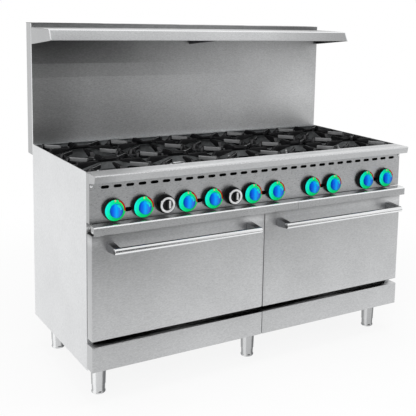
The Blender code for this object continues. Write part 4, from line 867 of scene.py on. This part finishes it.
# a black sheet behind the vent slots that stands in for the shade inside the panel: painted shade
shade_sheet = {"back": 0.005, "lip": 0.0012, "thick": 0.001, "drop": 0.042, "high": 0.030, "inset": 0.004,
    "bend": 0.0015, "steps": 4}
low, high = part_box("control_panel")
panelY = low[1]
top = high[2] - shade_sheet["drop"]
bottom = top - shade_sheet["high"]
near, far = panelY + shade_sheet["lip"], panelY + shade_sheet["back"]
channel = roundPath([(near, bottom), (far, bottom), (far, top), (near, top)], shade_sheet["bend"], shade_sheet["steps"])
channel = bentSheet(channel, shade_sheet["thick"], low[0] + shade_sheet["inset"], high[0] - shade_sheet["inset"])
putPiece("vent_baffle", [(*channel, shadeBlack)], "cabinet")

# black plates behind the lighting ports that stand in for the shade inside them: painted shade
ports = {"half": 0.025, "high": 0.014, "drop": 0.006, "back": 0.0045, "thick": 0.0015, "bevel": 0.0003}
y = panelY + ports["back"]
patches = []
for number in burnerKnobs[::2]:
    x = (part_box("burner_knob_%d" % number)[0][0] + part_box("burner_knob_%d" % (number + 1))[1][0]) / 2
    z = middleOf("burner_knob_%d" % number)[2] - ports["drop"]
    patches.append((*block((x - ports["half"], y, z - ports["high"]),
                           (x + ports["half"], y + ports["thick"], z + ports["high"])), shadeBlack))
putPiece("port_shades", patches, "cabinet", bevel=ports["bevel"])

dots = {"profile": ((0.0024, 0), (0.0024, 0.0004), (0.00192, 0.00056)), "rise": 0.0418}
dot = lathe(dots["profile"], smallSides)
patches = []
for name in ["burner_knob_%d" % number for number in burnerKnobs] + ["oven_knob_1", "oven_knob_2"]:
    x, _, z = middleOf(name)
    patches.append((*placed(dot, facing, (x, panelY, z + dots["rise"])), dotDark))
putPiece("index_dots", patches, "cabinet")
print("knobs made")

grate = {"frameWide": 0.014, "frameHigh": 0.015, "frameRound": 0.0028, "roundSteps": 3, "corner": 0.030,
    "cornerSteps": 8, "finThick": 0.010, "finDeep": 0.0170, "finInner": 0.090, "cornerInset": 0.013,
    "endRun": 0.014, "endLift": 0.0008, "rootRise": 0.005, "fingerInner": 0.046, "fingerTip": 0.009,
    "fingerRoot": 0.017, "tipDeep": 0.008, "fingerInset": 0.0047, "heel": 0.0224, "draft": 0.10,
    "bevel": 0.0016, "ribAt": 0.168, "ribHalf": 0.018, "ribThick": 0.010, "ribSink": 0.002, "ribCurve": 0.8,
    "ribPoints": 13, "lug": 0.0128, "lugInset": 0.001, "lugSides": 24,
    "lugProfile": ((0.94, 0.001), (1.0, 0.003), (1.0, 0.014), (0.9, 0.0162), (0.6, 0.0172))}


def grateCasting(low, high):
    # rounded square frame, a fin along each half diagonal and a tapered finger with a round lug on each
    # side; a fin widens towards its bottom by the draft, and a finger towards its root
    centre = ((low[0] + high[0]) / 2, (low[1] + high[1]) / 2, 0)
    halfX, halfY = (high[0] - low[0]) / 2, (high[1] - low[1]) / 2
    half, base, top = grate["frameWide"] / 2, low[2], high[2]
    frameTop = base + grate["frameHigh"]
    endTop = frameTop + grate["endLift"]
    ringX, ringY = halfX - half, halfY - half
    ring = roundedOutline((-ringX, -ringY), (ringX, ringY), grate["corner"] - half, grate["cornerSteps"])
    section = roundedOutline((-half, 0), (half, grate["frameHigh"]), grate["frameRound"], grate["roundSteps"])
    points, faces = carried(np.insert(ring, 2, base, 1), section, True)
    patches = [(points + centre, faces, ironCast)]
    cornerX, cornerY = halfX - grate["cornerInset"], halfY - grate["cornerInset"]
    reach = math.hypot(cornerX, cornerY)
    root = base + grate["rootRise"]
    under = top - grate["finDeep"]
    ribAt, finInner, inner = grate["ribAt"], grate["finInner"], grate["fingerInner"]
    fin = [(finInner, under), (ribAt, under), (ribAt, top), (finInner, top)]
    foot = [(ribAt, under), (reach - grate["finThick"], root), (reach, root), (reach, endTop),
            (reach - grate["endRun"], top), (ribAt, top)]
    bow = np.linspace(0, np.pi, grate["ribPoints"])
    ribFoot = frameTop - grate["ribSink"]
    arch = ribFoot + (top - ribFoot) * np.sin(bow) ** grate["ribCurve"]
    dome = np.stack([grate["ribHalf"] * np.cos(bow), arch], 1)
    rib, ribFaces = prism(dome, ribAt, ribAt + grate["ribThick"])  # rounded rib across the fin's end
    diagonal = math.atan2(cornerY, cornerX)
    angles = (diagonal, math.pi - diagonal, math.pi + diagonal, -diagonal)
    # two fins with a painted highlight on their edges, two with a painted sheen on their sides
    for angle, finish in zip(angles, (edgeLitCast, sheenCast, edgeLitCast, sheenCast)):
        turn = angle - math.pi / 2
        for outline, skin in ((fin, finish), (foot, ironCast)):
            points, faces = prism(outline, -0.5, 0.5)
            points[:, 0] *= grate["finThick"] + grate["draft"] * (top - points[:, 2])
            patches.append((turned(points, turn, centre), faces, skin))
        patches.append((turned(rib[:, [1, 0, 2]], turn, centre), ribFaces, ironCast))
    for quarter in range(4):
        turn = quarter * math.pi / 2 - math.pi / 2
        out = (halfX, halfY)[quarter % 2]
        outer = out - grate["fingerInset"]
        finger = [(inner, top - grate["tipDeep"]), (out - grate["heel"], root), (outer, root),
                  (outer, endTop), (outer - grate["endRun"], top), (inner, top)]
        points, faces = prism(finger, -0.5, 0.5)
        share = (points[:, 1] - inner) / (outer - inner)
        points[:, 0] *= grate["fingerTip"] + share * (grate["fingerRoot"] - grate["fingerTip"])
        patches.append((turned(points, turn, centre), faces, ironCast))
        lug, faces = lathe(np.array(grate["lugProfile"]) * (grate["lug"], 1) + (0, base), grate["lugSides"])
        lug[:, 1] += out - grate["lug"] - grate["lugInset"]
        patches.append((turned(lug, turn, centre), faces, lugCast))
    return patches


for row in ("front", "rear"):
    for number in burnerColumns:
        name = "grate_%s_%d" % (row, number)
        putPiece("casting_%s_%d" % (row, number), grateCasting(*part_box(name)), "%s_grate_%d" % (row, number),
                 [name], bevel=grate["bevel"])
print("grates made")

burner = {"radius": 0.047, "dome": 0.018, "domePoints": 9, "sides": 80, "ribs": 20, "ribDepth": 0.0011,
    "carrierHigh": 0.030, "carrierWide": 0.030, "clear": 0.0002, "tubeDrop": 0.039,
    "mouthAt": (0, 0.0169, 0.010), "venturi": 0.012, "venturiSides": 20,
    "throat": ((0.0144, 0.001), (0.01472, 0.006), (0.01032, 0.026), (0.012, 0.06)),
    "bowl": ((0.022, -0.057, 0), (0.022, -0.030, 0), (0.035, -0.020, 0), (0.035, -0.006, 0),
        (0.04606, -0.002, 0))}
knobSpread = (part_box("burner_knob_2")[0][0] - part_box("burner_knob_1")[0][0]) / 2
curve = np.linspace(0, np.pi / 2, burner["domePoints"])[:-1]
dome = np.stack([burner["radius"] * np.cos(curve), burner["dome"] * np.sin(curve), np.sin(2 * curve)], 1)
profile = np.concatenate([burner["bowl"], dome])
head, headFaces = lathe(profile, burner["sides"], burner["ribs"], burner["ribDepth"])
for number in burnerColumns:
    low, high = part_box("burner_pair_%d" % number)
    x = (low[0] + high[0]) / 2
    rim = high[2] - burner["dome"]
    half, clear = burner["carrierWide"] / 2, burner["clear"]
    carrierLow = low[2] + clear
    patches = [(*block((x - half, low[1] + clear, carrierLow),
                       (x + half, high[1] - clear, carrierLow + burner["carrierHigh"])), burnerCast)]
    for row, way in (("front", -1), ("rear", 1)):
        y = middleOf("grate_%s_%d" % (row, number))[1]
        patches.append((head + (x, y, rim), headFaces, burnerCast))
        mouth = np.array([x + way * knobSpread, low[1], carrierLow]) + burner["mouthAt"]
        axis = np.array([x, y, high[2] - burner["tubeDrop"]]) - mouth
        turn = np.array(Vector(axis).to_track_quat("Z", "Y").to_matrix())
        throat = [*burner["throat"], (burner["venturi"], np.linalg.norm(axis))]
        pipe, faces = lathe(throat, burner["venturiSides"])
        patches.append((pipe @ turn.T + mouth, faces, burnerCast))
    putPiece("burners_%d" % number, patches, "cabinet", ["burner_pair_%d" % number])

pilot = {"shift": (-0.032, 0.0475), "top": 0.006, "rise": 0.026, "sink": 0.006, "tube": 0.0032,
    "tubeSides": 12, "pipe": 0.012, "bend": 0.02, "bendSteps": 5, "lead": (0.03, 0.004), "tipSides": 20,
    "tip": ((0.00252, 0), (0.0042, 0.003), (0.0042, 0.0182), (0.00294, 0.0195), (0.00252, 0.026)), "bent": 2,
    "bentShift": (-0.013, 0.059), "spur": (-0.051, -0.001, -0.058, 0.012), "spurRise": 0.003,
    "spurBends": (0.003, 0.008)}
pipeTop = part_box("gas_manifold")[1][2]
tip, tipFaces = lathe(pilot["tip"], pilot["tipSides"])
tube = circle(pilot["tube"], pilot["tubeSides"])
pipeY = deep(pilot["pipe"])
for number in burnerColumns:
    low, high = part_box("grate_front_%d" % number)
    middleX, middleY, _ = middleOf("grate_front_%d" % number)
    shift = pilot["bentShift"] if number == pilot["bent"] else pilot["shift"]
    x, y, z = middleX + shift[0], middleY + shift[1], low[2] + pilot["top"] - pilot["rise"]
    patches = [(tip + (x, y, z), tipFaces, tubeBright)]
    level = z + pilot["sink"]
    run = roundPath([(pipeY, pipeTop - pilot["tube"]), (pipeY, level), (y - pilot["lead"][0], level),
                     (y, level + pilot["lead"][1])], pilot["bend"], pilot["bendSteps"])
    points, faces = carried(np.insert(run, 2, 0, 1), tube)  # up from the gas pipe and back to the pilot
    patches.append((points[:, [2, 0, 1]] + (x, 0, 0), faces, tubeBright))
    if number == pilot["bent"]:  # spur that leaves the tube, stands up and lies across behind the rail
        left, right, behind, lift = pilot["spur"]
        spur = [(x, level), (middleX + right, level + pilot["spurRise"]), (middleX + right, low[2] + lift),
                (middleX + left, low[2] + lift)]
        spur = roundPath(spur, pilot["spurBends"])
        points, faces = carried(np.insert(spur, 2, 0, 1), tube)
        patches.append((points[:, [0, 2, 1]] + (0, middleY + behind, 0), faces, tubeBright))
    putPiece("pilot_%d" % number, patches, "cabinet")
print("burners and pilots made")

legs = {"sides": 48,
    "profile": ((0.0245, 0.0), (0.0262, 0.0008), (0.0277, 0.0030), (0.0283, 0.0060), (0.0280, 0.0078),
        (0.0264, 0.0105), (0.0260, 0.0130), (0.0261, 0.0180), (0.0268, 0.0364), (0.0280, 0.0368),
        (0.0283, 0.0376), (0.0283, 0.0420), (0.0310, 0.1328))}
leg, legFaces = lathe(legs["profile"], legs["sides"])
for row in ("front", "rear"):
    for place in ("left", "middle", "right"):
        name = "leg_%s_%s" % (row, place)
        x, y, _ = middleOf(name)
        putPiece("levelling_" + name, [(leg + (x, y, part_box(name)[0][2]), legFaces, legNickel)], "cabinet",
                 [name])

rack = {"rod": 0.0040, "rodSides": 12, "wire": 0.0024, "wires": 21, "wireLift": 0.0012, "corner": 0.014,
    "cross": 0.0034, "crosses": 2, "crossLift": -0.0004, "wireSides": 8}
rod = circle(rack["rod"], rack["rodSides"])
wire, cross = (circle(rack[key], rack["wireSides"]) for key in ("wire", "cross"))
for hand in hands:
    low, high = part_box("oven_rack_" + hand)
    r = rack["rod"]
    z = low[2] + r
    left, right, front, back = low[0] + r, high[0] - r, low[1] + r, high[1] - r
    middleX, middleY, _ = middleOf("oven_rack_" + hand)
    ring = np.insert(roundedOutline((left, front), (right, back), rack["corner"], arcSteps), 2, z, 1)
    patches = [(*carried(ring, rod, True), wireChrome)]
    lift = z + rack["wireLift"]
    for x in np.linspace(low[0], high[0], rack["wires"] + 2)[1:-1]:
        patches.append((*carried([(x, front, lift), (x, middleY, lift), (x, back, lift)], wire), wireChrome))
    lift = z + rack["crossLift"]
    for y in np.linspace(low[1], high[1], rack["crosses"] + 2)[1:-1]:
        patches.append((*carried([(left, y, lift), (middleX, y, lift), (right, y, lift)], cross), wireChrome))
    putPiece("wire_rack_" + hand, patches, "cabinet", ["oven_rack_" + hand])
print("legs and racks made")

camera = {"place": (-1.7918, deep(-2.8107), 1.5376), "yaw": 33.788, "pitch": 8.472, "roll": 1.730,
    "focal": 801.24, "shift": (-70.358, -81.792), "frame": 416, "sensor": 36}
yaw, pitch, roll = (math.radians(camera[key]) for key in ("yaw", "pitch", "roll"))
ahead = np.array([math.sin(yaw) * math.cos(pitch), math.cos(yaw) * math.cos(pitch), -math.sin(pitch)])
level = np.array([math.cos(yaw), -math.sin(yaw), 0])
above = np.cross(level, ahead)
across = math.cos(roll) * level + math.sin(roll) * above
upward = math.cos(roll) * above - math.sin(roll) * level
lens = bpy.data.cameras.new("camera")
lens.sensor_width = camera["sensor"]
lens.lens = camera["focal"] * camera["sensor"] / camera["frame"]
lens.shift_x, lens.shift_y = (value / camera["frame"] for value in camera["shift"])
eye = bpy.data.objects.new("camera", lens)
turn = np.eye(4)
turn[:3] = np.stack([across, upward, -ahead, camera["place"]], 1)
eye.matrix_world = Matrix(turn.tolist())
scene.collection.objects.link(eye)
scene.camera = eye

studio = {"diffuse": 0.55, "darkWay": (0.087, -0.986, 0.139), "floorHalf": 5.0, "floorLift": 0.88,
    "fade": (1.3, 2.6), "aim": (0, 0, 0.6),
    "lamps": (("key", (-2.4, -3.2, 2.6), 60, 2.0), ("top", (0.0, -0.3, 3.4), 60, 2.4)),
    "walls": ((0.75, "#FFFFFF"), (0.82, "#E8E8E8"), (0.885, "#DADADA"), (0.905, "#CCCCCC"),
        (0.925, "#B2B2B2"), (0.94, "#868686"), (0.955, "#606060"), (0.985, "#2C2C2C"), (1.0, "#1C1C1C"))}


def seenRays(tree):
    # 1 for what the camera sees, straight or in a mirror or through glass: the largest of the three
    rays = addNode(tree, "LightPath").outputs
    seen = addNode(tree, "Math MAXIMUM", (rays["Is Camera Ray"], rays["Is Glossy Ray"]))
    return addNode(tree, "Math MAXIMUM", (seen, rays["Is Transmission Ray"]))


world = bpy.data.worlds.new("studio")
world.use_nodes = True
scene.world = world
tree = world.node_tree
way = addNode(tree, "TexCoord").outputs["Generated"]
dark = addNode(tree, "VectorMath DOT_PRODUCT", (way, studio["darkWay"]))
straight = addNode(tree, "LightPath").outputs["Is Camera Ray"]
dark = addNode(tree, "Math SUBTRACT", (dark, straight))  # white where seen straight
walls = addNode(tree, "ValToRGB", (dark,), studio["walls"])
strength = addNode(tree, "MapRange", (seenRays(tree), 0, 1, studio["diffuse"], 1.0))
addNode(tree, tree.nodes["Background"], {"Color": walls, "Strength": strength})
for name, place, power, size in studio["lamps"]:
    lamp = bpy.data.lights.new(name, "AREA")
    lamp.energy = power
    lamp.size = size
    holder = bpy.data.objects.new(name, lamp)
    holder.location = place
    holder.rotation_euler = (Vector(studio["aim"]) - Vector(place)).to_track_quat("-Z", "Y").to_euler()
    holder.visible_glossy = False  # the sheets mirror the studio walls and floor, not the lamp frames
    scene.collection.objects.link(holder)

floorMesh = bpy.data.meshes.new("floor")
edge = studio["floorHalf"]
corners = [(-edge, -edge, 0), (edge, -edge, 0), (edge, edge, 0), (-edge, edge, 0)]
floorMesh.from_pydata(corners, [], [(0, 1, 2, 3)])
floorFinish, add, shader, place = newFinish("studio floor, painted white", Roughness=0.9,
                                            Specular_IOR_Level=0.0)
grain = add("TexNoise", {"Vector": place, "Scale": 2.0})  # half-metre clouds, hardly seen
add(shader, {"Base Color": add("ValToRGB", (grain,), ((0.3, "#F0F0F0"), (0.7, "#F4F4F4")))})
distance = add("VectorMath LENGTH", (place,))
far = add("MapRange", (distance, *studio["fade"], studio["floorLift"], 1.0), interpolation_type="SMOOTHSTEP")
share = add("Math MULTIPLY", (far, seenRays(floorFinish.node_tree)))
white = add("Emission", {"Color": (1, 1, 1, 1), "Strength": 1.0})
blend = add("MixShader", {0: share, 1: shader, 2: white})
add(floorFinish.node_tree.nodes["Material Output"], {"Surface": blend})
floorMesh.materials.append(floorFinish)
floor = bpy.data.objects.new("floor", floorMesh)
scene.collection.objects.link(floor)
print("studio set")
